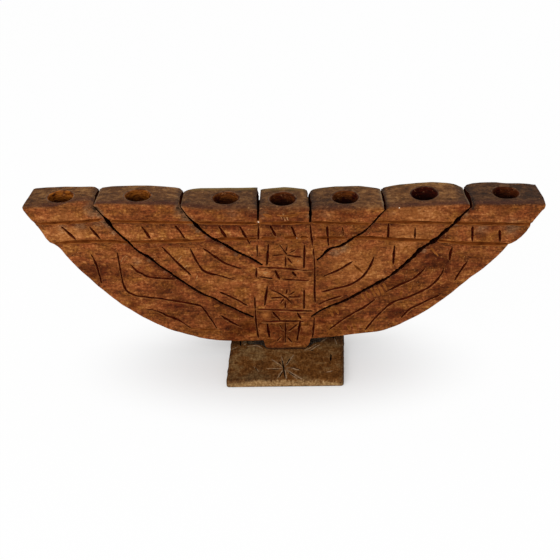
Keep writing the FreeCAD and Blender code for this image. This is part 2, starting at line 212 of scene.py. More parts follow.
def take_up(piece):
    """Select this piece alone and make it the one that is worked on."""
    bpy.ops.object.select_all(action="DESELECT")
    piece.select_set(True)
    bpy.context.view_layer.objects.active = piece


def finish_with(piece, kind, **settings):
    """Add a modifier to a piece and apply it."""
    take_up(piece)
    modifier = piece.modifiers.new(kind.lower(), kind)
    for name, value in settings.items():
        setattr(modifier, name, value)
    bpy.ops.object.modifier_apply(modifier=modifier.name)


def settle(piece, name):
    """Name a piece and leave its object at the origin, with its place in its mesh."""
    take_up(piece)
    bpy.ops.object.transform_apply(location=True, rotation=True, scale=True)
    piece.name = name
    piece.data.name = name


def close_up(piece):
    """Merge points that lie on each other, and turn every face outwards."""
    take_up(piece)
    bpy.ops.object.mode_set(mode="EDIT")
    bpy.ops.mesh.select_all(action="SELECT")
    bpy.ops.mesh.remove_doubles(threshold=MERGE_DISTANCE * MM)
    bpy.ops.mesh.normals_make_consistent(inside=False)
    bpy.ops.object.mode_set(mode="OBJECT")
    return piece


def wear_edges(piece, wanted, width, segments=3):
    """Round off the edges whose two ends pass the test."""
    take_up(piece)
    mesh = piece.data
    bpy.ops.object.mode_set(mode="EDIT")
    bpy.ops.mesh.select_mode(type="EDGE")
    bpy.ops.mesh.select_all(action="DESELECT")
    bpy.ops.object.mode_set(mode="OBJECT")
    for edge in mesh.edges:
        start, end = [mesh.vertices[index].co for index in edge.vertices]
        edge.select = wanted(start, end)
    bpy.ops.object.mode_set(mode="EDIT")
    bpy.ops.mesh.bevel(offset=width * MM, offset_type="OFFSET", segments=segments, profile=0.5,
                       affect="EDGES", clamp_overlap=True)
    bpy.ops.object.mode_set(mode="OBJECT")


def divide(piece, planes, **settings):
    """Cut a piece's faces along planes, each a place in millimetres and a direction."""
    take_up(piece)
    bpy.ops.object.mode_set(mode="EDIT")
    for place, direction in planes:
        bpy.ops.mesh.select_all(action="SELECT")
        bpy.ops.mesh.bisect(plane_co=Vector(place) * MM, plane_no=direction, **settings)
    bpy.ops.object.mode_set(mode="OBJECT")


def score(piece, direction, places):
    """Divide a piece along parallel planes, so that its faces can follow a carved surface."""
    divide(piece, [(Vector(direction) * place, direction) for place in places])


def block(name, size, centre):
    bpy.ops.object.select_all(action="DESELECT")
    bpy.ops.mesh.primitive_cube_add(size=1)
    piece = bpy.context.object
    piece.scale = Vector(size) * MM
    piece.location = Vector(centre) * MM
    settle(piece, name)
    return piece


def flat_sheet(corners):
    """A flat face with these corners, all selected in edit mode and ready to be extruded."""
    bpy.ops.object.select_all(action="DESELECT")
    bpy.ops.mesh.primitive_circle_add(vertices=len(corners), fill_type="NGON")
    sheet = bpy.context.object
    for vertex, corner in zip(sheet.data.vertices, corners):
        vertex.co = Vector(corner) * MM
    bpy.ops.object.mode_set(mode="EDIT")
    bpy.ops.mesh.select_all(action="SELECT")
    return sheet


def extrude(x=0.0, y=0.0, z=0.0):
    bpy.ops.mesh.extrude_region_move(TRANSFORM_OT_translate={"value": (x * MM, y * MM, z * MM)})


def sheet_solid(outline, front, back):
    """A solid of one outline, given as (x, z) points, from a front to a back plane."""
    piece = flat_sheet([(x, front, z) for x, z in outline])
    extrude(y=back - front)
    bpy.ops.object.mode_set(mode="OBJECT")
    return close_up(piece)


def turned_solid(x, rings, sides=64):
    """A solid of stacked rings, (radius, z) from the bottom up, on the slab's middle plane."""
    radius, level = rings[0]
    bpy.ops.object.select_all(action="DESELECT")
    bpy.ops.mesh.primitive_circle_add(vertices=sides, radius=radius * MM, fill_type="NGON",
                                      location=Vector((x, 0, level)) * MM)
    piece = bpy.context.object
    bpy.ops.object.transform_apply(location=True)
    bpy.ops.object.mode_set(mode="EDIT")
    bpy.ops.mesh.select_all(action="SELECT")
    for next_radius, next_level in rings[1:]:
        extrude(z=next_level - level)
        grown = next_radius / radius
        bpy.ops.transform.resize(value=(grown, grown, 1), center_override=Vector((x, 0, next_level)) * MM)
        radius, level = next_radius, next_level
    bpy.ops.object.mode_set(mode="OBJECT")
    return close_up(piece)


def join_pieces(pieces):
    take_up(pieces[0])
    for piece in pieces[1:]:
        piece.select_set(True)
    bpy.ops.object.join()
    return pieces[0]


def cut_away(piece, tool, left_by_tool=None):
    """Cut a tool's shape out of a piece. The new faces get the finish that the tool leaves."""
    if left_by_tool:
        tool.data.materials.clear()
        tool.data.materials.append(left_by_tool)
    finish_with(piece, "BOOLEAN", operation="DIFFERENCE", object=tool, solver="MANIFOLD",
                material_mode="TRANSFER")
    bpy.data.objects.remove(tool)


def between(value, low, high):
    """How far a value is on its way from low to high, held to 0 and 1."""
    return min(1.0, max(0.0, (value - low) / (high - low)))


def eased(share):
    return share * share * (3 - 2 * share)


def unevenness(*place):
    """A smooth number between -1 and 1 that wanders from place to place, the same on every run."""
    return noise.noise(Vector(place))


def along(points, x):
    """The height at x on a line through (x, z) points in order of x."""
    if x <= points[0][0]:
        return points[0][1]
    for (x0, z0), (x1, z1) in zip(points, points[1:]):
        if x <= x1:
            return z0 + (z1 - z0) * (x - x0) / (x1 - x0)
    return points[-1][1]


def flowing(points, step):
    """A smooth line through points, with a new point about every step."""
    line = []
    count = len(points)
    for index in range(count - 1):
        before = Vector(points[max(index - 1, 0)])
        start = Vector(points[index])
        end = Vector(points[index + 1])
        after = Vector(points[min(index + 2, count - 1)])
        parts = max(1, round((end - start).length / step))
        for part in range(parts):
            t = part / parts
            place = 0.5 * (2 * start + (end - before) * t
                           + (2 * before - 5 * start + 4 * end - after) * t ** 2
                           + (3 * start - before - 3 * end + after) * t ** 3)
            line.append(place)
    line.append(Vector(points[-1]))
    return line


# Surfaces of the carved slab

front_edges = [[on_upright(pixel, -FACE) for pixel in edge] for edge in FRONT_EDGES]
rear_edges = [[on_upright(pixel, FACE) for pixel in edge] for edge in REAR_EDGES]

# Where each cut opens at the top of the front face, and how far its rear end lies from there
cut_mouths = [on_upright(path[0])[0] for path in CUT_PATHS]
cut_tops = [on_upright(path[0])[1] for path in CUT_PATHS]
cut_skews = [on_upright(pixel, FACE)[0] - mouth for pixel, mouth in zip(REAR_MOUTHS, cut_mouths)]
cut_rises = [on_upright(pixel, FACE)[1] - top for pixel, top in zip(REAR_MOUTHS, cut_tops)]

# How much the wood is rounded over on the left and on the right of each cut
MOUTH_WEAR = ((0.6, 0.8), (0.6, 1.6), (0.6, 0.6), (0.6, 0.8), (0.6, 1.0), (0.5, 1.8))

# How far the front edge of each branch end is rolled over by wear, and how deep the roll reaches
EDGE_ROLLS = (0.5, 0.6, 1.8, 2.6, 2.2, 0.7, 0.6)
ROLL_REACH = 9.0

# How far back, and how far down, a knife has shaved the front corner beside the outer left cut
SHAVED_REACH = 10.0
SHAVED_DEPTH = 3.2

# Where the slow unevenness of the two hand-worked faces starts
FRONT_SEED = 1.7
REAR_SEED = 9.4


def rear_share(y):
    return (y + FACE) / (2 * FACE)


def branch_at(x, y):
    mouths = [mouth + skew * rear_share(y) for mouth, skew in zip(cut_mouths, cut_skews)]
    return sum(1 for mouth in mouths if x > mouth)


def from_cut(x, y):
    """Which cut is nearest on the branch ends, and how far to its right the point lies."""
    offsets = [x - mouth - skew * rear_share(y) for mouth, skew in zip(cut_mouths, cut_skews)]
    nearest = min(range(len(offsets)), key=lambda index: abs(offsets[index]))
    return nearest, offsets[nearest]


def shaved_reach(x):
    """How far back the front corner is shaved at x."""
    return SHAVED_REACH * eased(between(x, -206, -184)) * (1 if x < cut_mouths[0] + 0.5 else 0)


def end_level(x, y):
    """Height of the branch ends: straight along the front, more crowned at the back, rolled edges."""
    branch = branch_at(x, y)
    front = along(front_edges[branch], x)
    rear = along(rear_edges[branch], x)
    level = front + (rear - front) * rear_share(y)
    roll = 1 - between(y, -FACE, -FACE + ROLL_REACH)
    level -= EDGE_ROLLS[branch] * roll ** 2
    level -= SHAVED_DEPTH * between(shaved_reach(x) - FACE - y, 0, SHAVED_REACH)
    cut, offset = from_cut(x, y)
    wear = MOUTH_WEAR[cut][0 if offset < 0 else 1] * (1 - 0.6 * rear_share(y))
    level -= wear * (1 - between(abs(offset), 1.2, 3.2 + wear)) ** 2
    ripple = unevenness(x / 14, y / 14, 3.1)
    return level + 0.35 * ripple


def face_relief(x, z, seed):
    """How far a hand-worked face stands off its flat plane, outwards positive."""
    broad = unevenness(x / 55, z / 32, seed)
    short = unevenness(x / 16, z / 8, seed + 7.3)
    return 0.5 * broad + 0.3 * short


# Levels of the two long grooves. The wood just under each is pared back, so that it faces down.
UPPER_GROOVE_LEVELS = ((-230, 143.5), (-167, 145.5), (-93, 143.5), (-22, 142.5), (22, 142.8), (90, 142),
                       (165, 139.5), (228, 138))
LOWER_GROOVE_LEVELS = ((-205, 123.6), (-167, 125.8), (-120, 125.0), (-90, 124.6), (-22, 126.8), (22, 127.0),
                       (80, 127.0), (130, 123.4), (165, 120.6), (200, 118.0))

# Sunk panels on the stem, as left, right, bottom and top
STEM_PANELS = ((-16.4, 16.2, 97.0, 119.6), (-17.4, 14.8, 56.6, 80.4), (-14.4, 12.4, 24.0, 42.6))


def pared_back(drop, depth, reach):
    """How far the face falls back at a distance under a groove, before it comes forward again."""
    return depth * eased(between(drop, 0.4, 4.2)) * (1 - eased(between(drop, 7, reach)))


def front_relief(x, z):
    relief = face_relief(x, z, FRONT_SEED)
    relief -= pared_back(along(UPPER_GROOVE_LEVELS, x) - z, 0.95, 20)
    relief -= pared_back(along(LOWER_GROOVE_LEVELS, x) - z, 0.7, 26)
    for left, right, bottom, top in STEM_PANELS:
        inside = min(x - left, right - x, z - bottom, top - z)
        relief -= 0.4 * eased(between(inside, -1.2, 1.2))
    return relief


def shape_blank_point(place):
    """Move one point of the sawn blank to where the carved slab has it."""
    x, y, z = place / MM
    raised = between(z, 128, BLANK_TOP - 1.2)
    new_z = z + (end_level(x, y) - BLANK_TOP) * raised
    lower = 1 - between(z, 12, 20)
    chipped = unevenness(x / 9, y / 12, 5.5) * 0.35
    new_z += chipped * (1 - raised) * (1 - lower)
    front = eased(between(-y, FACE - 8, FACE - 1))
    back = eased(between(y, FACE - 8, FACE - 1))
    clear = between(z, 6, 10)
    new_y = y - front * front_relief(x, new_z) * clear + back * face_relief(x, new_z, REAR_SEED) * clear
    return Vector((x, new_y, new_z)) * MM


def grown_outline(edge, side):
    """Push the lower outline outwards, except near the foot and the tip on the right."""
    grown = []
    for index, (x, z) in enumerate(edge):
        before = Vector(edge[max(index - 1, 0)])
        after = Vector(edge[min(index + 1, len(edge) - 1)])
        heading = (after - before).normalized()
        growth = OUTLINE_GROWTH * (1 if side < 0 else between(x, 78, 105) * between(x, 212, 196))
        outwards = Vector((side * -heading.y, side * heading.x)) * growth
        grown.append((x + outwards.x, z + outwards.y))
    return grown


# The saw's waste reaches past the blank at its end, under it and over it
WASTE_END = 260.0
WASTE_BOTTOM = -20.0
WASTE_TOP = 190.0


def sawn_blank():
    """The slab with its lower outline sawn, its ends slanted, its arrises worn."""
    blank = block("carved_slab", (BLANK_LENGTH, 2 * FACE, BLANK_TOP - SEAT_LEVEL),
                  (0, 0, (BLANK_TOP + SEAT_LEVEL) / 2))
    blank.data.materials.append(oiled_hardwood)
    sides = ((-1, LEFT_OUTLINE, LEFT_FOOT), (1, RIGHT_OUTLINE, RIGHT_FOOT))
    for side, outline, foot_side in sides:
        edge = grown_outline([on_upright(pixel) for pixel in outline], side)
        foot = [on_upright(pixel) for pixel in foot_side]
        foot += [(foot[-1][0], SEAT_LEVEL - 0.01), (foot[-1][0], WASTE_BOTTOM)]
        corners = [(side * WASTE_END, WASTE_BOTTOM), (side * WASTE_END, WASTE_TOP), (edge[0][0], WASTE_TOP)]
        cut_away(blank, sheet_solid(corners + edge + foot, -FACE - 10, FACE + 10), oiled_hardwood)
    for side, outline, foot_side in sides:
        tip = on_upright(outline[0])[0] + side * OUTLINE_GROWTH
        slant = Vector((side * 2 * FACE, REAR_NARROWING, 0)).normalized()
        divide(blank, [((tip, -FACE, 0), slant)], use_fill=True, clear_outer=True)
    faces = (-FACE * MM, FACE * MM)
    hair = 1e-6

    def on_face(start, end):
        return any(abs(start.y - face) < hair and abs(end.y - face) < hair for face in faces)

    def at_rear_corner(start, end):
        upright = abs(start.x - end.x) < hair and abs(start.y - end.y) < hair
        return upright and start.y > (FACE - 0.1) * MM and abs(start.x) > 200 * MM

    wear_edges(blank, lambda start, end: start.x < 0 and at_rear_corner(start, end), 7.0, 5)
    wear_edges(blank, lambda start, end: start.x > 0 and at_rear_corner(start, end), 4.5, 4)
    wear_edges(blank, on_face, ARRIS_WEAR)
    return blank


GRID_STEP = 2.1
MOUTH_CLEARANCE = 5.0
MOUTH_LINES = (-4.3, -3.1, -2.1, -1.2, 1.2, 2.1, 3.1, 4.3)
DEPTH_LINES = (-18.4, -16.4, -14, -11, -8, -4, 0, 4, 8, 12, 16, 18.6)


def score_blank(blank):
    """Grid lines over the blank: closer at the arrises and at the mouths of the saw cuts."""
    clear = [(mouth + min(0, skew) - MOUTH_CLEARANCE, mouth + max(0, skew) + MOUTH_CLEARANCE)
             for mouth, skew in zip(cut_mouths, cut_skews)]
    columns = [-232 + GRID_STEP * index for index in range(222)]
    score(blank, (1, 0, 0), [x for x in columns if not any(low < x < high for low, high in clear)])
    divide(blank, [((mouth + offset, -FACE, 0), Vector((2 * FACE, -skew, 0)).normalized())
                   for mouth, skew in zip(cut_mouths, cut_skews) for offset in MOUTH_LINES])
    rows = [8 + GRID_STEP * index for index in range(70)]
    score(blank, (0, 0, 1), [z for z in rows if z < BLANK_TOP - 4] + [BLANK_TOP - 3.4, BLANK_TOP - 2.0])
    score(blank, (0, 1, 0), DEPTH_LINES)


CUT_RISE = 14.0                # how far over the branch ends the saw's sheet starts
SHEET_THICKNESS = 10.0         # of which a saw cut takes a share at each point
CUT_ROWS = (-30, -FACE - 1.2, -FACE + 0.1, -FACE + 1.0, -17, -11, -4, 4, 11, 17, FACE - 1.0, FACE - 0.1,
            FACE + 1.2, 30)


# Each saw cut, left to right: its width at distances down the cut, how much wider its mouth is at the
# front, in the middle and at the back, and the places where the blade tore out more, as pixel and width
SAW_CUTS = (
    (((0, 2.2), (3, 0.9), (15, 1.0), (19, 2.6), (26, 2.4), (40, 1.9), (120, 1.9), (200, 1.6)),
     (0.0, 0.5, -1.0), (((109.0, 223.4), 1.5), ((147.0, 256.5), 0.9))),
    (((0, 1.6), (3, 0.9), (15, 0.9), (19, 1.5), (23, 2.6), (34, 2.5), (60, 2.1), (110, 1.7)),
     (0.2, 0.0, -0.6), (((196.5, 225.5), 1.0), ((228.0, 247.0), 0.8))),
    (((0, 2.1), (8, 1.8), (15, 1.5)), (0.0, 0.5, 0.3), ()),
    (((0, 2.6), (7, 2.3), (16, 2.0)), (0.0, 0.2, 0.0), ()),
    (((0, 2.2), (3, 1.2), (18, 1.4), (45, 2.1), (60, 2.5), (80, 1.6)),
     (0.0, 0.2, -1.0), (((327.5, 250.8), 1.3), ((351.0, 240.0), 0.8))),
    (((0, 2.6), (3.5, 1.5), (12, 1.9), (18, 3.3), (60, 3.2), (90, 2.8), (140, 2.4), (200, 1.8)),
     (0.0, 0.4, -1.6), (((434.0, 240.6), 1.0), ((420.0, 249.6), 1.4))),
)
TEAR_REACH = 3.2
LIP_GROWTH = 1.1               # how much wider a cut is worn where it comes out of a face


def saw_cut(number):
    """What the saw takes out: a thin, wandering sheet from front to back."""
    widths, (at_front, at_middle, at_rear), tears = SAW_CUTS[number]
    points = [on_upright(pixel) for pixel in CUT_PATHS[number]]
    line = flowing([(points[0][0], points[0][1] + CUT_RISE)] + points, 1.7)
    bpy.ops.object.select_all(action="DESELECT")
    bpy.ops.mesh.primitive_grid_add(x_subdivisions=len(line) - 1, y_subdivisions=len(CUT_ROWS) - 1)
    cut = bpy.context.object
    weights = cut.vertex_groups.new(name="thickness")
    torn_places = [(Vector(on_upright(pixel)), extra) for pixel, extra in tears]
    falls = [-CUT_RISE]
    for start, end in zip(line, line[1:]):
        falls.append(falls[-1] + (end - start).length)
    for index, vertex in enumerate(cut.data.vertices):
        station = index % len(line)
        y = CUT_ROWS[index // len(line)]
        place = line[station]
        fall = falls[station]
        share = max(0.0, fall) / falls[-1]
        wander = unevenness(fall / 11, y / 18, number * 3.7)
        drift = Vector((cut_skews[number], cut_rises[number])) * rear_share(y) * (1 - 0.5 * share)
        drift.x += REAR_LEANS[number] * rear_share(y) * between(fall, 0, 8)
        before = line[max(station - 1, 0)]
        after = line[min(station + 1, len(line) - 1)]
        heading = (after - before).normalized()
        across = Vector((heading.y, -heading.x))
        opening = along(((-FACE, at_front), (-4, at_middle), (8, at_middle), (FACE, at_rear)), y)
        opening *= (1 - between(fall, 0, 12)) ** 2
        middle = place + across * wander * 0.4 + drift
        middle.x += MOUTH_SIDES[number] * opening / 2
        vertex.co = Vector((middle.x, y, middle.y)) * MM
        open_width = along(widths, fall)
        rough_edge = unevenness(fall / 4.4, y / 9, 40 + number * 5.1)
        torn_edge = unevenness(fall / 1.9, y / 5, 60 + number * 5.1)
        open_width *= 1 + 0.4 * rough_edge + 0.5 * torn_edge
        for torn, extra in torn_places:
            nearness = math.exp(-((place - torn).length / TEAR_REACH) ** 2)
            open_width += extra * nearness * (1 - between(y, -18, 0))
        open_width += opening
        open_width *= 1 - REAR_PINCHES[number] * rear_share(y) * between(fall, 1, 6)
        lip = max(between(-y, FACE - 1.0, FACE + 1.2), between(y, FACE - 1.0, FACE + 1.2))
        open_width += LIP_GROWTH * lip * between(fall, 2, 14) * (1 - 0.6 * share)
        weights.add([index], min(1.0, max(0.02, open_width / SHEET_THICKNESS)), "REPLACE")
    finish_with(cut, "SOLIDIFY", thickness=SHEET_THICKNESS * MM, offset=0, vertex_group="thickness",
                use_even_offset=False, use_rim=True)
    settle(cut, "saw_cut")
    return close_up(cut)


# A bore's section from its floor up to its worn lip: how much wider than the bore, how far over its top
BORE_RINGS = ((-1.4, -BORE_DEPTH), (0, 1.2 - BORE_DEPTH), (0, -9), (0.05, -1.8), (0.3, -0.9), (0.8, -0.4),
              (1.9, -0.06), (3.4, 0.6), (6, 6))


def candle_bore(number):
    """A bore a candle stands in: hand-turned, a little out of round, with a shallow worn lip."""
    x, top = BORE_PLACES[number], BORE_TOPS[number]
    right, back, oval = BORE_WANDER[number]
    bore = turned_solid(x, [(BORE_RADIUS + wider, top + above) for wider, above in BORE_RINGS])
    for vertex in bore.data.vertices:
        place = vertex.co / MM
        mouth = between(place.z, top - 14, top - 3)
        outwards = Vector((place.x - x, place.y, 0))
        if outwards.length > 1:
            out_of_round = unevenness(outwards.x / 9, outwards.y / 9, place.z / 12 + number * 5.3)
            place += outwards.normalized() * out_of_round * 0.35
        place.x += right * mouth
        place.y = place.y * (1 + (oval - 1) * mouth) + back * mouth
        place.z += (end_level(place.x, place.y) - top) * between(place.z, top - 9, top - 3)
        vertex.co = place * MM
    return bore


# Knife and gouge work on the front face. Each line is a list of pixels.

UPPER_GROOVE = (
    ((35, 224.2), (62, 223.2), (84, 221.4), (100, 219.8)),
    ((110, 221.2), (140, 222), (170, 222.6), (195, 223)), ((197, 223), (225, 223.4), (257, 223.6)),
    ((259, 223.4), (284, 223.5), (309, 223.3)), ((311, 222.5), (340, 223.6), (369, 225)),
    ((377, 221.6), (410, 222.6), (455, 223.6)), ((452, 223.4), (490, 224), (533.5, 224.4)),
)
LOWER_GROOVE = (
    ((54, 243.4), (78, 242), (100, 241.2), (128, 242.6)),
    ((130, 242.4), (160, 241.6), (196, 241), (205, 240)), ((213, 239.6), (235, 239.2), (256, 238.6)),
    ((261, 238.4), (276, 238.8)), ((284, 238), (297, 238)), ((300.5, 237.7), (307.5, 237.7)),
    ((316, 238.4), (328, 238.6), (345, 238.2)), ((352, 237.8), (360, 237.6), (395, 239.6), (434, 241)),
    ((438, 240.4), (458, 243.2), (480, 244.4), (508, 244.4)),
)
TICKS = (
    ((61, 227.3), (75.5, 239.7)), ((89, 227.3), (100.3, 239.4)), ((141.5, 227), (150.2, 238.6)),
    ((175, 226.4), (185, 239)), ((218.1, 226.9), (226.4, 238)), ((239.6, 227.2), (250, 244.6)),
    ((270, 226.7), (275.9, 236.6)), ((291.2, 226.9), (296, 237.1)), ((327.2, 227), (328.6, 246.5)),
    ((388.7, 223.8), (388.2, 237.9)), ((472.8, 227.6), (472.6, 241.7)), ((500, 230.8), (500.2, 242)),
)
THIN_TICKS = (((342.5, 227.4), (343.4, 236.2)), ((415.4, 227.4), (415.2, 233), (414.8, 239)))
STEM_LINES = (
    ((258.6, 277), (266, 278), (272.6, 279.2)), ((281, 279.2), (292, 280.2), (309, 281)),
    ((258.2, 224.5), (258.5, 232), (258.4, 240)), ((257, 245.3), (257.2, 251), (257.6, 257)),
    ((256.3, 268), (256.3, 272), (256.5, 278)), ((254.8, 297.5), (255, 303), (255.2, 309.5)),
    ((255.4, 310), (255.8, 318), (257, 329), (258.6, 338.2)), ((310, 224), (311.2, 234), (312.6, 246.6)),
    ((313.4, 249), (314.2, 257), (314.7, 266), (314.8, 280), (314.6, 293), (315.4, 303)),
    ((314.4, 317.5), (313.8, 326), (312.6, 338)),
)
STEM_BARS = (
    ((258.3, 267.6), (284, 269), (311.8, 271.2)), ((256, 309.5), (284, 310.4), (312.9, 311.5)),
    ((262, 322.6), (284, 321.6), (304, 321.8)),
)
STEM_TICKS = (
    ((268.5, 244.8), (266.8, 266)), ((304.6, 245.4), (304, 268.2)), ((267.6, 286.6), (264.8, 305.6)),
    ((304.2, 290), (304.1, 309)), ((267, 323.6), (269.6, 337.4)), ((300.4, 321), (297.2, 341)),
    ((275, 270.6), (279.4, 279.4)), ((292, 271.6), (296.2, 277)), ((272.5, 311.8), (280.4, 321)),
    ((297.2, 312.8), (300.8, 319.4)),
)
STAR_RAYS = (
    ((279, 245), (282.6, 249.6), (286.8, 255.4)), ((287.6, 246), (286, 251.8)),
    ((296.2, 250.4), (289.6, 253.4)), ((272, 256), (284, 255.6)), ((286, 256), (302.6, 257.8)),
    ((285.8, 257.2), (285.6, 266.6)), ((287.2, 258), (292, 264)),
    ((270, 290), (282, 295.4), (292.4, 304.2)), ((287.2, 289.4), (286.6, 294.2)),
    ((295, 291.6), (288.8, 296)), ((288, 297.6), (301.8, 297.4)), ((270.6, 298.6), (282.6, 297.8)),
    ((284, 299), (280.2, 304)), ((285.8, 301.4), (285.2, 309.2)),
    ((285.4, 322.6), (285.6, 332), (285.6, 343)), ((288, 332.4), (297, 325.2)),
    ((281.6, 337), (277, 341.6)), ((287.4, 337.6), (292, 342.8)), ((279, 325), (283.4, 330.6)),
)
LEFT_WING_LINES = (
    ((90.7, 254.4), (95.4, 263), (98.6, 273), (101.7, 283.4)),
    ((117, 252.3), (120.3, 269), (122.6, 282), (124.9, 288.1), (129.5, 293.2), (139.5, 296.5), (160, 298.8),
     (169.1, 300.3), (186.7, 303), (199.7, 305.7), (203.6, 309), (208.1, 314.9), (217.6, 329.8)),
    ((130.1, 264), (134.9, 269.7), (141, 273.6), (148.6, 277), (160, 278.5), (175.4, 279.5)),
    ((146, 310), (153.2, 310.5), (160, 312.5), (167.6, 316.4), (178.3, 320.2), (190.8, 328.2)),
    ((220.2, 315.2), (230, 321.4), (241.8, 327.6)), ((161.6, 247.4), (174, 260), (190.8, 275.3)),
    ((190, 249.3), (195.9, 260.6), (202.4, 270), (208.9, 273.6), (217.3, 275.5), (223.5, 277),
     (234.8, 280.6)),
    ((202.6, 248.8), (211.2, 254.4), (221.2, 261.3), (231, 266), (241.2, 269)),
    ((219.4, 291.8), (232.8, 298), (247.2, 305.5)),
)
RIGHT_WING_LINES = (
    ((394.8, 245.6), (393.8, 255), (393.2, 265)),
    ((352.8, 261.4), (345.9, 265.9), (336.7, 271), (323.3, 276.6)),
    ((374.4, 255.8), (371.2, 264.4), (365, 274.3), (358.1, 280.4), (349, 285.4), (336.7, 288.5), (322, 292)),
    ((318.4, 305), (328.3, 300.3), (341.6, 296.3)), ((452.6, 247.6), (450.8, 253), (449.8, 260.2)),
    ((468.2, 261.2), (461, 270.6), (455.2, 280.2)),
    ((425.2, 268.8), (415.8, 277.5), (408.3, 281.7), (400, 285), (385.3, 292.7)),
    ((443.6, 268), (441.4, 274.7), (431.6, 285.8), (420.5, 292), (409, 297.3), (393, 302.6), (382.6, 311),
     (373.5, 320.2), (365.6, 329.8)),
    ((440.2, 295), (429, 299.9), (419.1, 304.9), (409.5, 309.7), (401.6, 317.8)),
    ((375.8, 298.8), (365.8, 306.5), (353.6, 313.3), (341.3, 321), (329.8, 329.4)),
)
TOOL_MARKS = (
    ((370.6, 287.4), (375.4, 296.6)), ((374.6, 285.8), (379.6, 295.8)), ((378.8, 284.4), (383.6, 294.4)),
    ((383, 282.8), (387, 291)), ((365.4, 291), (369.6, 298.4)), ((361.4, 293.6), (364.4, 299.2)),
    ((330, 309.4), (333, 316.4)), ((335.6, 307.6), (338.4, 314.2)), ((352.6, 322.6), (356.6, 330)),
    ((402, 289.4), (400.4, 295.8)), ((411, 284.6), (409.4, 291.4)), ((347.4, 324), (350.4, 330.4)),
    ((391.4, 266.2), (398.4, 259.2)), ((402.6, 250.6), (408, 246)), ((146, 265.6), (151.6, 271.8)),
    ((205.8, 293.8), (211.2, 301)), ((296.6, 213.6), (304.8, 209.8)), ((262.4, 214.2), (272.4, 217.4)),
    ((276, 214.8), (287, 216.2), (298, 214.6)), ((430.6, 247.4), (438.8, 256.6)),
    ((213.6, 306.6), (219.6, 305.2)), ((236, 260.6), (242, 252.4)),
)
FRESH_SCRATCHES = (
    ((121, 262.4), (122.2, 258.8), (125, 256.2), (128, 257)), ((124, 260.6), (126.6, 257.8)),
    ((177.4, 261.2), (181.4, 256.4)), ((183.8, 268.4), (187, 265.2)), ((195.6, 280.4), (197.4, 275.4)),
    ((280.6, 216.4), (282.4, 220)), ((283.8, 216.6), (285.2, 221)), ((286.6, 216.4), (288, 220.6)),
    ((263.4, 273.8), (267.8, 272)), ((296.4, 262.6), (299.4, 260.4)), ((282.4, 213.6), (283.8, 215.2)),
)
WHITE_FLECKS = (
    ((257.6, 221.3), (259.2, 222.3)), ((398.6, 207.4), (400, 207.9)), ((295.4, 237.6), (297.4, 238.4)),
)
FAINT_LINES = (((190.8, 328.4), (204, 330), (218.9, 330.2)), ((353.8, 264.6), (362.6, 272.8)))


def drawn_out(places, reach):
    """Lengthen a line at both ends, because a cut that runs out is seen shorter than it is."""
    first = (places[0] - places[1]).normalized() * reach
    last = (places[-1] - places[-2]).normalized() * reach
    return [places[0] + first] + places[1:-1] + [places[-1] + last]


STROKE_LIFT = 1.0              # how far off the face a stroke's spline runs


def gouge_stroke(name, lines, width, depth, lead, on_plinth=False):
    """The waste of V cuts that enter a face at one end, run at a depth, and come out again.

    Each line is a spline just off the face, and its radius swells where the tool goes deeper. The lead
    is how far the tool takes to reach its full depth."""
    lift = STROKE_LIFT
    half_width = width / 2 * (depth + lift) / depth
    profile_data = bpy.data.curves.new(name + "_profile", "CURVE")
    corners = profile_data.splines.new("POLY")
    corners.points.add(2)
    for point, (x, y) in zip(corners.points, ((-half_width, 0), (0, -(depth + lift)), (half_width, 0))):
        point.co = (x * MM, y * MM, 0, 1)
    corners.use_cyclic_u = True
    profile = bpy.data.objects.new(name + "_profile", profile_data)
    bpy.context.collection.objects.link(profile)
    data = bpy.data.curves.new(name, "CURVE")
    data.dimensions = "3D"
    data.twist_mode = "Z_UP"
    data.bevel_mode = "OBJECT"
    data.bevel_object = profile
    data.use_fill_caps = True
    shallow = lift / (lift + depth)
    for number, pixels in enumerate(lines):
        places = [Vector(on_level(pixel, PLINTH_TOP) if on_plinth else on_upright(pixel))
                  for pixel in pixels]
        places = drawn_out(places, 0.5 * lead)
        length = sum((b - a).length for a, b in zip(places, places[1:]))
        points = flowing(places, min(1.6, length / 6))
        spline = data.splines.new("POLY")
        spline.points.add(len(points) - 1)
        gone = 0.0
        for index, (point, place) in enumerate(zip(spline.points, points)):
            if index:
                gone += (place - points[index - 1]).length
            deep = eased(min(between(gone, 0, lead), between(length - gone, 0, 0.8 * lead)))
            pressure = 0.86 + 0.28 * math.sin(math.pi * min(1.0, gone / length))
            pressure += 0.35 * unevenness(gone / 6, number * 4.3, 0.5)
            tremble = 0.25 * unevenness(gone / 4, number * 2.9, 8.5)
            height = FACE + front_relief(place.x, place.y) + lift
            if on_plinth:
                height = PLINTH_TOP + plinth_relief(place.x, place.y) + lift
            point.co = ((place.x + tremble) * MM, (place.y + tremble) * MM, height * MM, 1)
            point.radius = shallow * 0.7 + (1 - shallow * 0.7) * deep * pressure
    stroke = bpy.data.objects.new(name, data)
    bpy.context.collection.objects.link(stroke)
    stroke.rotation_euler = (0 if on_plinth else math.radians(90), 0, 0)
    take_up(stroke)
    bpy.ops.object.convert(target="MESH")
    stroke = bpy.context.object
    bpy.data.objects.remove(profile)
    settle(stroke, name)
    return close_up(stroke)


# The screws' pilot holes in the foot and their countersunk holes in the board
PILOT_RINGS = ((2.2, -5), (2.2, 7.4), (1.55, 7.41), (1.55, 30.45))
SCREW_HOLE_RINGS = ((4.0, -3), (4.0, 0.4), (2.2, 2.4), (2.2, 12))


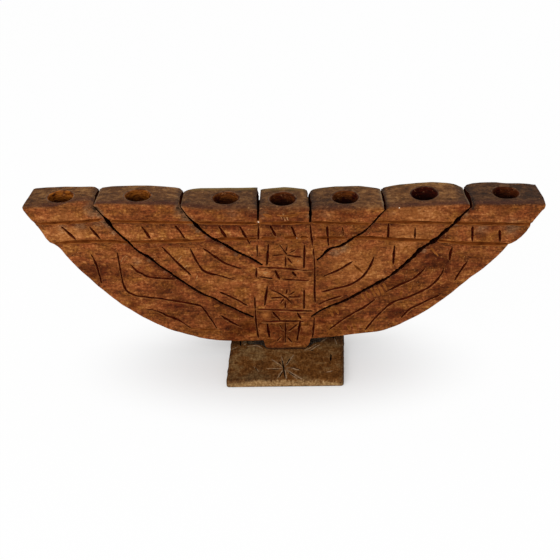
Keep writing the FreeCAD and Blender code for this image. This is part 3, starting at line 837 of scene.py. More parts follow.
def carve_slab():
    """The slab: sawn, shaped by hand, parted by the saw cuts, bored and carved."""
    slab = sawn_blank()
    score_blank(slab)
    for vertex in slab.data.vertices:
        vertex.co = shape_blank_point(vertex.co)
    finish_with(slab, "TRIANGULATE")

    cuts = [saw_cut(number) for number in range(len(SAW_CUTS))]
    cut_away(slab, join_pieces(cuts), sawn_wall)
    bores = join_pieces([candle_bore(number) for number in range(len(BORE_PLACES))])
    cut_away(slab, bores, bored_wall)
    pilots = join_pieces([turned_solid(x, PILOT_RINGS, 24) for x in SCREW_PLACES])
    cut_away(slab, pilots, bored_wall)

    # In the order of carving, each with its width, its depth, its lead and the finish it leaves
    for name, lines, width, depth, lead, left_by_tool in (
            ("upper_groove", UPPER_GROOVE, 3.6, 1.2, 7.0, worn_groove),
            ("lower_groove", LOWER_GROOVE, 4.2, 1.4, 3.0, worn_groove),
            ("stem_bars", STEM_BARS, 3.0, 1.05, 2.5, knife_cut),
            ("tool_marks", TOOL_MARKS, 2.0, 0.3, 2.5, worn_groove),
            ("ticks", TICKS, 2.5, 1.8, 2.5, knife_cut),
            ("thin_ticks", THIN_TICKS, 2.0, 1.2, 3.0, knife_cut),
            ("stem_lines", STEM_LINES, 2.1, 1.3, 3.0, knife_cut),
            ("stem_ticks", STEM_TICKS, 2.5, 1.8, 3.0, knife_cut),
            ("star_rays", STAR_RAYS, 2.0, 1.2, 2.0, knife_cut),
            ("left_lines", LEFT_WING_LINES, 2.45, 1.6, 6.0, knife_cut),
            ("right_lines", RIGHT_WING_LINES, 2.5, 1.6, 6.0, knife_cut),
            ("faint_lines", FAINT_LINES, 2.1, 0.8, 2.0, worn_groove),
            ("fresh_scratches", FRESH_SCRATCHES, 0.8, 0.3, 1.0, scuffed_wood),
            ("white_flecks", WHITE_FLECKS, 1.15, 1.1, 0.5, fresh_wood)):
        cut_away(slab, gouge_stroke(name, lines, width, depth, lead), left_by_tool)
    settle(slab, "carved_slab")
    mark_wear(slab)
    bpy.ops.object.shade_smooth_by_angle(angle=SMOOTH_ANGLE)
    return slab


# Marks that the finishes follow

# Darker (positive) and lighter patches of the front face: pixel, radius in pixels, strength. They are stains
# and lighter wood, with painted shade low on the body and on the stem's bottom panel, and painted highlights
# on the stem's panel frames and facets.
STAINS_AND_LIGHT = (
    ((106, 268), 20, 0.22), ((94, 276), 12, 0.12), ((150, 258), 10, 0.15), ((188, 312), 26, 0.3),
    ((236, 322), 15, 0.3), ((222, 300), 16, 0.15), ((285, 329), 13, 0.35), ((283, 292), 10, 0.15),
    ((277, 272), 8, 0.2), ((431, 255), 15, 0.42), ((452, 264), 14, 0.28), ((472, 256), 14, 0.2),
    ((414, 285), 17, 0.3), ((380, 300), 17, 0.3), ((345, 318), 17, 0.3), ((396, 312), 14, 0.2),
    ((285, 216), 22, 0.4), ((234, 215), 15, 0.15), ((275, 234), 16, 0.15), ((252, 214), 6, 0.4),
    ((162, 288), 22, 0.2), ((316, 214), 5, 0.2), ((285, 333), 10, 0.22), ((214, 254), 16, 0.15),
    ((420, 214), 24, -0.38), ((350, 266), 20, -0.35), ((226, 282), 14, -0.15), ((298, 262), 5, -0.6),
    ((404, 242), 13, -0.35), ((66, 234), 17, -0.35), ((496, 213), 20, -0.15), ((60, 214), 18, -0.2),
    ((375, 270), 12, -0.25), ((185, 262), 16, -0.1), ((130, 214), 24, -0.1), ((260.4, 230), 3.2, -0.5),
    ((260.2, 238), 3.2, -0.4), ((259.4, 248), 3, -0.5), ((258.8, 262), 3.2, -0.4), ((259.4, 273), 3, -0.5),
    ((258.8, 286), 3.2, -0.5), ((258.4, 298), 3.2, -0.4), ((266, 273.4), 4, -0.6),
    ((265.8, 315.4), 4, -0.7), ((307.4, 284), 3.4, -0.4), ((308, 300), 3.4, -0.3), ((262, 330), 4, -0.5),
    ((306, 330), 4, -0.4), ((283, 345), 9, -0.05), ((283, 240), 8, -0.2), ((302, 252), 3, -0.3),
)

# Heights in the frame at which marks along the branch ends are read
ENDS_HEIGHT = 200
FRONT_EDGE_HEIGHT = 206
REAR_EDGE_HEIGHT = 188

# Tone of the branch ends along the slab: pixel across, 0 for the darkest tone, 1 for the lightest
END_TONES = ((30, 0.55), (60, 0.75), (88, 0.8), (104, 0.6), (140, 0.75), (176, 0.7), (186, 0.55), (215, 0.5),
             (252, 0.3), (262, 0.35), (284, 0.5), (304, 0.7), (313, 0.2), (340, 0.2), (355, 0.3), (372, 0.95),
             (388, 0.75), (420, 0.95), (455, 1.0), (466, 0.05), (500, 0.0), (540, 0.05))

# Strength of the dark band that hands have left along the front of the branch ends
DARK_BANDS = ((25, 0.5), (50, 0.9), (92, 0.9), (96, 0.9), (176, 1.0), (186, 0.9), (250, 0.5), (262, 0.2),
              (305, 0.2), (314, 0.7), (345, 0.7), (375, 0.2), (390, 0.7), (466, 0.9), (475, 0.8), (540, 0.6))

# Grey grime rubbed into the wood beside the mouths of the cuts, and painted shade beside the cuts and under
# the upper groove: pixel, radius in pixels, strength.
# Past 0.5 it turns nearly black.
SMEARS_AND_SHADE = (
    ((86.5, 210.5), 4.4, 0.36), ((91, 214.5), 3.8, 0.36), ((90.4, 205.6), 3.4, 0.5),
    ((95.2, 209.6), 3.2, 1.4), ((99.2, 213.8), 3, 1.2), ((105, 221.6), 3, 0.8), ((107.8, 226.8), 2.6, 1.1),
    ((113.2, 233), 2.4, 0.7), ((178.2, 206.4), 3.1, 1.4), ((182, 211.8), 2.6, 0.7),
    ((185, 216.6), 3.2, 0.5), ((189.6, 221.4), 3.2, 0.8), ((183.6, 219), 4.5, 0.4), ((193, 226.6), 3, 0.6),
    ((197.6, 231.4), 2.4, 0.6), ((176, 212.6), 4, 0.3), ((207, 238.4), 2.2, 0.5), ((222, 247), 2.2, 0.5),
    ((236, 254.6), 2.2, 0.45), ((125, 243.4), 2, 0.4), ((149, 261), 2.2, 0.45), ((165, 272.2), 2, 0.35),
    ((457, 224.4), 2.6, 0.5), ((466, 214), 2.6, 0.5), ((424, 250.6), 2.6, 0.5), ((346, 247.4), 4, 0.45),
    ((333, 253), 4, 0.5), ((340, 251), 5, 0.35), ((231, 212), 8, 0.25), ((250, 208), 6, 0.35),
    ((62, 228.5), 5, 0.4), ((80, 226.5), 6, 0.4), ((97, 225), 6, 0.35), ((326, 214), 8, 0.2),
    ((392, 212), 6, 0.15), ((482, 228), 8, 0.35), ((512, 227.5), 9, 0.45), ((262, 214), 5, 0.4),
    ((309, 216), 3, 0.4), ((137, 262), 5, 0.25),
)

# Where the front edge of the branch ends shows a thin pale line: worn wood, and a painted highlight where the
# rounded arris catches the light
PALE_EDGES = ((24, 0.8), (50, 0.8), (56, 0.1), (94, 0.1), (95, 0.9), (106, 0.8), (112, 0.4), (178, 0.2),
              (181, 0.9), (200, 0.8), (206, 0.1), (445, 0.0), (452, 0.7), (471, 0.9), (473, 0.0),
              (512, 0.1), (520, 0.6), (541, 0.7))

# How strongly a painted yellowish sheen lies along the rear edge of the branch ends
REAR_SHEEN_EDGES = ((186, 0.0), (196, 1.0), (252, 1.0), (258, 0.3), (264, 0.5), (284, 1.0), (304, 0.6), (310, 0.2),
              (340, 0.2), (390, 0.1), (420, 0.4), (450, 0.3), (470, 0.0))

# How far back the front's colour runs over each rounded branch end, before the ends' painted shade
SOFT_FRONTS = (0.0, 0.0, 1.5, 9.0, 4.0, 1.0, 0.0)

# Darkening, and pale worn rims, on the left and on the right of each cut
MOUTH_DARKENING = ((0.5, 0.0), (0.4, 0.1), (0.8, 0.6), (0.4, 1.0), (0.1, 1.0), (0.1, 1.7))
MOUTH_RIMS = ((0.0, 0.7), (0.0, 0.4), (0.0, 0.0), (0.0, 0.0), (0.7, 0.0), (0.9, 0.0))

# How strongly the wood is darkened just under each slanting cut
LOWER_LIP_DARKENING = (0.45, 0.6, 0.0, 0.0, 0.25, 0.35)

# Wax left in the bores, left to right
WAX = (1.0, 0.75, 0.35, 0.15, 0.25, 0.0, 0.1)


def note_on_points(piece, notes):
    """Keep numbers for each point of a piece, by name, for its finish to follow."""
    for name, values in notes.items():
        attribute = piece.data.attributes.new(name, "FLOAT", "POINT")
        attribute.data.foreach_set("value", values)


def marks_at(here, marks):
    """The sum of the soft round marks at one place."""
    total = 0.0
    for centre, radius, strength in marks:
        distance = (here - centre).length / radius
        if distance < 2.5:
            total += strength * math.exp(-distance ** 2)
    return total


def under_cut(x, z, lines):
    """How much darker the wood is at a point under one of the slanting cuts."""
    darkest = 0.0
    for strength, side, line in lines:
        if line[0][0] < z < line[-1][0]:
            across = side * (x - along(line, z))
            slope = (along(line, z + 3) - along(line, z - 3)) / 6
            distance = across / math.hypot(1, slope)
            if distance > 0:
                darkest = max(darkest, strength * (1 - between(distance, 1.0, 5.0)))
    return darkest


def round_marks(marks):
    return [(Vector(on_upright(pixel)), radius / PIXELS_PER_MM, strength)
            for pixel, radius, strength in marks]


def marks_along(marks, height, y=-FACE):
    """Marks along the slab as (x, strength), from how far across they lie at a height in the frame."""
    return [(on_upright((across, height), y)[0], strength) for across, strength in marks]


def mark_wear(slab):
    """Note on the slab's points where it is worn, stained, waxed or cut into, and where painted shade,
    highlights and sheen go.
    """
    lips = []
    for number in (0, 1, 4, 5):
        path = sorted((z, x) for x, z in (on_upright(pixel) for pixel in CUT_PATHS[number]))
        lips.append((LOWER_LIP_DARKENING[number], -1 if number < 2 else 1, path))
    stains_and_light = round_marks(STAINS_AND_LIGHT)
    smears_and_shade = round_marks(SMEARS_AND_SHADE)
    end_tones = marks_along(END_TONES, ENDS_HEIGHT)
    dark_bands = marks_along(DARK_BANDS, FRONT_EDGE_HEIGHT)
    pale_edges = marks_along(PALE_EDGES, FRONT_EDGE_HEIGHT)
    rear_sheen_edges = marks_along(REAR_SHEEN_EDGES, REAR_EDGE_HEIGHT, FACE)
    notes = {}
    for vertex in slab.data.vertices:
        x, y, z = vertex.co / MM
        end = end_level(x, y)
        from_face = y + FACE + front_relief(x, z)
        from_front = y + FACE - shaved_reach(x)
        soft = SOFT_FRONTS[branch_at(x, y)]
        behind_front = between(from_front, -0.5, soft + 0.5)
        on_end = between(z - end, -1.6, -0.5) * behind_front
        on_bevel = between(from_face, 0.02, 0.2) * (1 - between(from_face, 0.8, 1.2))
        on_arris = on_bevel * between(z - end, -3.2, -2.2) * along(pale_edges, x)
        cut, offset = from_cut(x, y)
        side = 0 if offset < 0 else 1
        at_rim = (1 - between(abs(offset), 1.0, 2.8)) * on_end * between(y, -FACE, -FACE + 3)
        # The foot's lowest band, at the seat, is painted dark as a contact shadow
        at_seat = 1 - between(z, 7.9, 9.2)
        near_end = between(z - end, -5.0, -3.0) * behind_front
        at_mouth = (1 - between(abs(offset), 1.2, 5.5)) * near_end * MOUTH_DARKENING[cut][side]
        facing = between(-y, 0, 15)
        here = Vector((x, z))
        patch = marks_at(here, stains_and_light) + under_cut(x, z, lips)
        patch += 0.05 * between(z - along(UPPER_GROOVE_LEVELS, x), 0, 1)
        # Painted shade on the pared-back strip under each groove, which faces down
        for groove, strength in ((UPPER_GROOVE_LEVELS, 0.3), (LOWER_GROOVE_LEVELS, 0.15)):
            drop = along(groove, x) - z
            patch += strength * between(drop, 0, 1) * (1 - between(drop, 3.5, 6))
        nearest_bore = min(range(len(BORE_PLACES)), key=lambda index: abs(BORE_PLACES[index] - x))
        for name, value in (
                # The tops of the branch ends, painted darker and greyer as shade
                ("end_painted_shade", on_end),
                ("end_tone", along(end_tones, x)),
                ("dark_band", on_end * along(dark_bands, x) * (1 - between(from_front, 4, 11))),
                # The pale line on the front arris: wear, and a painted highlight
                ("arris", on_arris if shaved_reach(x) < 1 else 0.0),
                # A painted yellowish sheen along the rear edge of the branch ends
                ("painted_rear_sheen", on_end * between(y, FACE - 5.5, FACE - 2) * along(rear_sheen_edges, x)),
                ("rim", at_rim * MOUTH_RIMS[cut][side]),
                # A painted contact shadow at the foot's seat, and darker wood beside the cut mouths
                ("seat_shadow_and_mouth_dark", min(1.0, max(at_seat, at_mouth))),
                # How far in from the front, rear and top faces; the finishes darken with it as painted shade
                ("depth", max(0.0, min(from_face, FACE + face_relief(x, z, REAR_SEED) - y, end - z))),
                # Stains and lighter wood, with painted shade and painted highlights among them
                ("stain_and_painted_light", 0.5 + 0.5 * patch * facing),
                # Grey grime beside the cuts, partly painted shade
                ("smear_and_shade", min(1.0, marks_at(here, smears_and_shade)) * facing * (1 - 0.8 * on_end)),
                ("wax", WAX[nearest_bore]),
                # The rounded lower arrises, painted darker as shade
                ("low_edge", on_bevel * (1 - between(z - end, -12, -8)))):
            notes.setdefault(name, []).append(value)
    note_on_points(slab, notes)


# The plinth

# The board isn't quite square: its sides lean, and its front edge runs out to the left
PLINTH_SIDE_LEAN = 0.034
PLINTH_FRONT_GROWTH = (3.3, 2.5)

# How high the paler wood reaches up the edge of the board, left to right
PALE_EDGE_LINE = ((-51, 5.6), (-41, 5.8), (-32, 7.6), (12, 7.4), (24, 6.0), (51, 4.2))

# Dark blotches on the board, those beside the seat under the wings being painted shade: pixel, radius in
# millimetres, strength
PLINTH_DARK_BLOTCHES = (
    ((232, 376.5), 4, 0.5), ((240, 377.4), 4, 0.5), ((249, 377.8), 4, 0.5), ((259, 377), 5, 0.6),
    ((268, 378), 4, 0.6), ((277, 377), 4, 0.4), ((253, 373.5), 4, 0.3), ((236, 341), 5, 0.3),
    ((340, 344), 4, 0.4), ((331, 337), 4, 0.5), ((304, 378), 4, 0.3), ((262, 361), 5, 0.25),
)

# A star scratched in the board, and the cuts in it that took in dirt
PLINTH_STAR = (
    ((283.6, 368), (277, 363), (271, 359.2)), ((283.4, 367), (281.4, 356)),
    ((284.6, 367.4), (289, 361), (294.2, 354.2)), ((283, 368.6), (265.8, 368.6)),
    ((285, 368.4), (292, 368.2), (296, 369.6), (300, 369.4)), ((283, 369.6), (276.6, 379.4)),
    ((284.8, 369.6), (286.4, 379.6)), ((285.6, 369.8), (292, 374.6), (297.4, 379.6)),
    ((286, 369.4), (296, 375.6), (304.4, 381)), ((288.2, 367.6), (291, 368)),
)
PLINTH_SCRATCHES = (
    ((253.4, 366), (258.6, 371.4)), ((319.6, 342.8), (323.4, 340.6), (327, 338)),
    ((334, 337.6), (336.8, 344.4)), ((326, 372.4), (333, 370.8)),
    ((242.4, 344), (244.4, 341.8), (247.2, 342.8)), ((243.6, 345.4), (245.6, 343.6)),
    ((247, 346.4), (253, 345.6), (258, 346), (263, 348.6)), ((229.8, 350), (238, 346.6)),
    ((304, 350.2), (311, 347.4), (316.4, 344.2)), ((309, 351), (315, 347.4), (320, 344.6)),
)
PLINTH_CUTS = (
    ((282.2, 359.6), (283.4, 368), (285, 377.9)), ((240.8, 340.6), (240.4, 343), (241, 345.6)),
    ((318.4, 342), (322, 339.8), (325.8, 337)), ((333.2, 335.6), (333.6, 339.4)),
    ((330.6, 354), (330.8, 357.6), (330.4, 360.8)),
)
PLINTH_HAIRLINES = (
    ((278.6, 361.6), (281.6, 364.8)), ((282.6, 371.6), (279.2, 377.6)), ((288.4, 371.4), (294.4, 376)),
    ((290.6, 367.2), (296.6, 368.2), (301.4, 371)), ((286.4, 364.2), (290.2, 358.4)),
    ((272, 369.4), (279, 369.4)), ((255, 367.2), (257.4, 371)), ((310.4, 351), (313.4, 350.2)),
)

# The rim of the seat as (x, y): close round the foot, longer on the left. The seat's floor is smaller.
SEAT_FLOOR_SHARE = 0.985
SEAT_RIM = (
    (-38.6, 0), (-38.5, -8), (-37.6, -12.8), (-35.5, -14), (-32, -14), (-27.3, -14), (-23.4, -15.6),
    (-20.8, -18.6), (-18.6, -21.4), (-15, -22.4), (-2.8, -22.5), (12, -22.4), (17, -21.6), (20.8, -18),
    (24.4, -14), (29.1, -10.6), (34, -7), (38, -3.2), (40.5, 2), (38, 7.5), (31, 14.5), (20, 21.4),
    (6, 21.9), (-8, 21.7), (-20, 21.6), (-27, 18), (-33, 14), (-37, 8.5),
)


def plinth_relief(x, y):
    broad = unevenness(x / 30, y / 22, 4.4)
    short = unevenness(x / 7, y / 6, 8.1)
    return 0.3 * broad + 0.15 * short


def seat_waste():
    """What the gouge took out for the foot, with a rounded rim."""
    waste = flat_sheet([(x * SEAT_FLOOR_SHARE, y * SEAT_FLOOR_SHARE, SEAT_LEVEL) for x, y in SEAT_RIM])
    for rise, growth in ((0.8, 1.01), (1.5, 1.008), (6.0, 1.04)):
        extrude(z=rise)
        bpy.ops.transform.resize(value=(growth, growth, 1), center_override=(0, 0, 0))
    bpy.ops.object.mode_set(mode="OBJECT")
    return close_up(waste)


def make_plinth():
    """The board: worn at its edges, not quite square, gouged for the foot, drilled and scratched."""
    plinth = block("plinth", (PLINTH_WIDTH, PLINTH_DEPTH, PLINTH_TOP), (0, 0, PLINTH_TOP / 2))
    plinth.data.materials.append(plinth_wood)
    wear_edges(plinth, lambda start, end: abs(start.z - end.z) > 4 * MM, 2.5, 4)
    wear_edges(plinth, lambda start, end: min(start.z, end.z) > (PLINTH_TOP - 0.1) * MM, 1.5, 4)
    wear_edges(plinth, lambda start, end: max(start.z, end.z) < 0.1 * MM, 1.2, 3)
    score(plinth, (1, 0, 0), [-51 + 1.5 * index for index in range(69)])
    score(plinth, (0, 1, 0), [-66.5 + 1.5 * index for index in range(26)])
    score(plinth, (0, 1, 0), [-27 + 4 * index for index in range(24)])
    score(plinth, (0, 0, 1), (2.0, 4.0, 6.0))
    dark_blotches = [(on_level(pixel, PLINTH_TOP), radius, strength) for pixel, radius, strength in PLINTH_DARK_BLOTCHES]
    at_left, at_right = PLINTH_FRONT_GROWTH
    notes = {"paler_edge": [], "grime_and_painted_shade": []}
    for vertex in plinth.data.vertices:
        x, y, z = vertex.co / MM
        edge = max(abs(x) - PLINTH_WIDTH / 2, abs(y) - PLINTH_DEPTH / 2)
        upper = between(z, 0.5, 5)
        side = between(edge, -2.5, 0)
        below = along(PALE_EDGE_LINE, x) + unevenness(x / 11, y / 9, 6.2) - z
        notes["paler_edge"].append(0.5 + below / 10 + min(0.0, edge) / 14)
        at_side = between(abs(x) - PLINTH_WIDTH / 2, -4.5, -0.8)
        blotching = sum(strength * math.exp(-((x - spot_x) / radius) ** 2 - ((y - spot_y) / (2.6 * radius)) ** 2)
                   for (spot_x, spot_y), radius, strength in dark_blotches)
        blotching *= 1.3 * (1 - between(below, -0.5, 1.5))
        # Darker near the board's sides, blotched, and painted dark along its bottom as a contact shadow
        notes["grime_and_painted_shade"].append(min(1.0, max(at_side * (0.9 - 0.2 * upper), 1 - between(z, 0.3, 1.4), blotching)))
        z += upper * (plinth_relief(x, y) - 0.25 * side)
        hollow = 0.5 * upper * side * unevenness(x / 5, y / 5, z / 3)
        growth = at_left + (at_right - at_left) * (x / PLINTH_WIDTH + 0.5)
        lean = PLINTH_SIDE_LEAN * (min(y, 0) + 42) - 1.5 * between(-x, 0, PLINTH_WIDTH / 2)
        x = x * (1 - hollow / 60) + lean
        y = y * (1 - hollow / 60) - growth * between(-y, 0, PLINTH_DEPTH / 2)
        vertex.co = Vector((x, y, z)) * MM
    note_on_points(plinth, notes)
    finish_with(plinth, "TRIANGULATE")
    cut_away(plinth, seat_waste(), gouged_seat)
    holes = join_pieces([turned_solid(x, SCREW_HOLE_RINGS, 32) for x in SCREW_PLACES])
    cut_away(plinth, holes, gouged_seat)
    for name, lines, width, depth, lead, left_by_tool in (
            ("plinth_star", PLINTH_STAR, 1.3, 0.35, 2.0, scratched_wood),
            ("plinth_scratches", PLINTH_SCRATCHES, 1.1, 0.35, 2.0, scratched_wood),
            ("plinth_cuts", PLINTH_CUTS, 1.3, 1.5, 3.0, dirty_cut),
            ("plinth_hairlines", PLINTH_HAIRLINES, 0.9, 0.8, 2.0, dirty_cut)):
        cut_away(plinth, gouge_stroke(name, lines, width, depth, lead, True), left_by_tool)
    settle(plinth, "plinth")
    bpy.ops.object.shade_smooth_by_angle(angle=SMOOTH_ANGLE)
    return plinth


# The screws that hold the plinth to the foot

SCREW_RINGS = ((4.0, 0.4), (4.0, 0.5), (2.1, 2.4), (2.0, 3.0), (2.0, 7.4), (1.5, 8.0))
CORE_RADIUS = 1.5
THREAD_START = 8.0
THREAD_END = 28.6
SCREW_POINT = 30.4
THREAD_PITCH = 1.8
THREAD_HEIGHT = 0.5
THREAD_STEP = 0.2


def wood_screw(x):
    """A slotted countersunk wood screw, point up, its thread cut by lifting a spiral off the core."""
    rings = list(SCREW_RINGS)
    count = round((THREAD_END - THREAD_START) / THREAD_STEP)
    for index in range(1, count + 1):
        z = THREAD_START + THREAD_STEP * index
        rings.append((CORE_RADIUS - 0.5 * between(z, 25.4, THREAD_END), z))
    rings.append((0.3, SCREW_POINT))
    screw = turned_solid(x, rings, 24)
    for vertex in screw.data.vertices:
        place = vertex.co / MM
        outwards = Vector((place.x - x, place.y, 0))
        threaded = between(place.z, THREAD_START, THREAD_START + 1.5)
        threaded *= 1 - between(place.z, 26, THREAD_END)
        turn = (place.z / THREAD_PITCH - math.atan2(outwards.y, outwards.x) / math.tau) % 1
        ridge = max(0.0, 1 - abs(turn - 0.5) / 0.28)
        if place.z > THREAD_START:
            vertex.co += outwards.normalized() * ridge * threaded * THREAD_HEIGHT * MM
    cut_away(screw, block("screw_slot", (12, 1.0, 2.2), (x, 0, 0.4)), screw_steel)
    return screw


def make_screws():
    screws = join_pieces([wood_screw(x) for x in SCREW_PLACES])
    settle(screws, "wood_screws")
    bpy.ops.object.shade_smooth_by_angle(angle=SMOOTH_ANGLE)
    return screws


# Materials

def linear(hex_colour):
    """An sRGB hex colour as the linear colour that the shader takes."""
    channels = []
    for start in (1, 3, 5):
        value = int(hex_colour[start:start + 2], 16) / 255
        channels.append(value / 12.92 if value <= 0.04045 else ((value + 0.055) / 1.055) ** 2.4)
    return (*channels, 1.0)


def add_node(material, kind, settings=None, inputs=None):
    """Add one node with its settings, and give its inputs their values or links."""
    tree = material.node_tree
    node = tree.nodes.new(kind)
    for name, value in (settings or {}).items():
        setattr(node, name, value)
    for socket, value in (inputs or {}).items():
        if isinstance(value, bpy.types.NodeSocket):
            tree.links.new(value, node.inputs[socket])
        else:
            node.inputs[socket].default_value = value
    return node


def start_material(name):
    material = bpy.data.materials.new(name)
    material.use_nodes = True
    return material


def grain(material, sizes, detail, seed):
    """A pattern of blots that have the given size in millimetres along x, y and z."""
    place = add_node(material, "ShaderNodeTexCoord").outputs["Object"]
    stretched = add_node(material, "ShaderNodeMapping", inputs={
        "Vector": place,
        "Location": (seed, seed * 1.7, seed * 0.6),
        "Scale": [1 / (size * MM) for size in sizes],
    })
    return add_node(material, "ShaderNodeTexNoise", {"noise_dimensions": "3D"}, {
        "Vector": stretched.outputs["Vector"],
        "Scale": 1.0,
        "Detail": detail,
        "Roughness": 0.6,
    }).outputs["Fac"]


def share_of(material, source, low=0.0, high=1.0, at_low=0.0, at_high=1.0):
    """How strongly a finish shows, as its source goes from low to high.

    The source is a pattern, or the name of a number that is noted on the piece's points."""
    if isinstance(source, str):
        source = add_node(material, "ShaderNodeAttribute", {"attribute_name": source}).outputs["Fac"]
    return add_node(material, "ShaderNodeMapRange", {"clamp": True}, {
        "Value": source, "From Min": low, "From Max": high, "To Min": at_low, "To Max": at_high,
    }).outputs["Result"]


def weighed(material, *parts):
    """The sum of (pattern, weight) parts. A weight may be a pattern too."""
    total = 0.0
    for pattern, weight in reversed(parts):
        total = add_node(material, "ShaderNodeMath", {"operation": "MULTIPLY_ADD"}, {
            0: pattern, 1: weight, 2: total}).outputs[0]
    return total


def coat(material, beneath, colours, source=None, low=0.0, high=1.0, full=1.0, way="MIX"):
    """Lay a coat over the colour beneath it, or as the first one where there is none.

    Its colours are one colour, or a pattern and its stops, each (share, colour). It shows from not at
    all where its source is low to fully where that is high."""
    if isinstance(colours, str):
        colours = linear(colours)
    elif isinstance(colours, tuple):
        pattern, *stops = colours
        ramp = add_node(material, "ShaderNodeValToRGB", inputs={"Fac": pattern})
        marks = ramp.color_ramp.elements
        while len(marks) < len(stops):
            marks.new(0.5)
        for mark, (place, colour) in zip(marks, stops):
            mark.position = place
            mark.color = linear(colour)
        colours = ramp.outputs["Color"]
    if beneath is None:
        return colours
    share = full if source is None else share_of(material, source, low, high, 0.0, full)
    return add_node(material, "ShaderNodeMix", {"data_type": "RGBA", "blend_type": way}, {
        0: share, 6: beneath, 7: colours,
    }).outputs[2]


def finish_surface(material, colour, roughness, height, relief, shine=0.06, metallic=0.0):
    """Give the shader its colour, roughness and fine relief, in millimetres."""
    bump = add_node(material, "ShaderNodeBump", inputs={
        "Strength": 1.0, "Distance": relief * MM, "Height": height})
    tree = material.node_tree
    surface = tree.nodes["Principled BSDF"]
    tree.links.new(colour, surface.inputs["Base Color"])
    tree.links.new(roughness, surface.inputs["Roughness"])
    tree.links.new(bump.outputs["Normal"], surface.inputs["Normal"])
    surface.inputs["Specular IOR Level"].default_value = shine
    surface.inputs["Metallic"].default_value = metallic
    return material


def make_oiled_hardwood():
    """Open-grained reddish hardwood, planed and knife-carved by hand, then oiled and handled for years.

    The eye gets an orange brown with long fine grain lines, a soft figure, and branch ends painted darker and
    greyer as shade on the tops. Painted highlights and shade also follow the numbers noted on the points."""
    material = start_material("oiled_hardwood")
    fuzz = grain(material, (2.2, 1.7, 1.7), 2, 41)
    fibres = grain(material, (7.5, 1.8, 1.8), 3, 3)
    chatter = grain(material, (2.0, 5, 6), 2, 89)
    figure = grain(material, (13, 5, 5), 2, 11)
    bands = grain(material, (90, 9, 9), 2, 17)
    clouds = grain(material, (30, 20, 20), 2, 23)
    hues = grain(material, (17, 10, 10), 2, 53)
    mixed = weighed(material, (fuzz, 0.32), (fibres, 0.24), (figure, 0.17), (chatter, 0.13), (bands, 0.14))

    front = coat(material, None, (mixed, (0.38, "#46220d"), (0.45, "#673515"), (0.50, "#7d441d"),
                                  (0.55, "#935528"), (0.63, "#bd7e47")))
    front = coat(material, front, (clouds, (0.36, "#c8b2a0"), (0.47, "#ffffff"), (0.6, "#ffffff")),
                 way="MULTIPLY")
    front = coat(material, front, (hues, (0.38, "#fff0f6"), (0.5, "#ffffff"), (0.62, "#f4fadc")),
                 way="MULTIPLY")
    # Darker for stains and painted shade, lighter for lighter wood and painted highlights
    front = coat(material, front, "#a0806e", "stain_and_painted_light", 0.5, 0.8, way="MULTIPLY")
    front = coat(material, front, (mixed, (0.38, "#7c4119"), (0.5, "#9e602e"), (0.62, "#c28650")),
                 "stain_and_painted_light", 0.5, 0.25)

    handled = grain(material, (6, 5, 5), 3, 83)
    soft = weighed(material, (mixed, 0.45), (handled, 0.35), (clouds, 0.2))
    # The branch ends get their own darker, greyer colour, a painted shade on the tops, varied along the slab
    # by the end tone
    lighter_end = coat(material, None, (soft, (0.41, "#46290f"), (0.5, "#6e4420"), (0.59, "#9c6e3e")))
    end = coat(material, None, (soft, (0.41, "#261508"), (0.5, "#422712"), (0.59, "#6a4626")))
    end = coat(material, end, lighter_end, "end_tone")
    # A painted yellowish sheen along the rear edges of the branch ends
    end = coat(material, end, "#86703a", "painted_rear_sheen", full=0.6)
    end = coat(material, end, (mixed, (0.38, "#34140b"), (0.62, "#5c2e1e")), "dark_band", full=0.85)

    colour = coat(material, front, end, "end_painted_shade")
    # Grey grime beside the cuts, partly painted shade, nearly black past 0.5
    patchy = share_of(material, grain(material, (6, 3, 3), 3, 97), 0.38, 0.6, 0.5, 1.45)
    smear_and_shade = weighed(material, (share_of(material, "smear_and_shade"), patchy))
    colour = coat(material, colour, (mixed, (0.38, "#4a301c"), (0.5, "#6e4c32"), (0.62, "#9a7454")),
                  smear_and_shade, 0.05, 0.42, 0.7)
    colour = coat(material, colour, (mixed, (0.38, "#150c05"), (0.62, "#3e2814")), smear_and_shade, 0.5, 0.9, 0.9)
    # A painted contact shadow at the foot's seat, and darker wood beside the cut mouths
    colour = coat(material, colour, (mixed, (0.38, "#140a05"), (0.62, "#36241a")), "seat_shadow_and_mouth_dark", full=0.95)
    colour = coat(material, colour, "#9c8468", "rim", full=0.7)
    # A thin pale line on the front arris of the branch ends: wear, and a painted highlight
    colour = coat(material, colour, "#c89a74", "arris", full=0.75)
    # Painted shade where the surface turns away from the front, rear and top faces: arrises, underside and
    # slanted ends
    colour = coat(material, colour, "#8a7058", "depth", 0.15, 1.2, 0.7, "MULTIPLY")
    # Painted shade on the rounded lower arrises
    colour = coat(material, colour, "#a88c80", "low_edge", way="MULTIPLY")
    pores = grain(material, (4.0, 1.4, 1.4), 2, 31)
    colour = coat(material, colour, "#351406", pores, 0.38, 0.32, 0.6)
    specks = grain(material, (1.8, 1.5, 1.5), 1, 37)
    colour = coat(material, colour, "#d0985c", specks, 0.68, 0.78, 0.4)
    return finish_surface(material, colour, share_of(material, mixed, 0.35, 0.65, 0.62, 0.48), mixed, 0.9)


def make_cut_wood(name, blots, detail, seed, rim, roughness, relief, inner=(), reach=(0.0, 1.0), shine=0.06):
    """Wood that a tool has laid bare: a rim's dark and pale colour, and the colours further in.

    The inner colours take over between two depths under the surface, in millimetres; darker inner colours
    paint the shade deep in a cut."""
    material = start_material(name)
    fibres = grain(material, blots, detail, seed)
    colour = coat(material, None, (fibres, *zip((0.38, 0.6), rim)))
    if inner:
        colour = coat(material, colour, (fibres, *zip((0.38, 0.6), inner)), "depth", *reach)
    rough = share_of(material, fibres, 0.3, 0.7, *roughness)
    return finish_surface(material, colour, rough, fibres, relief, shine)


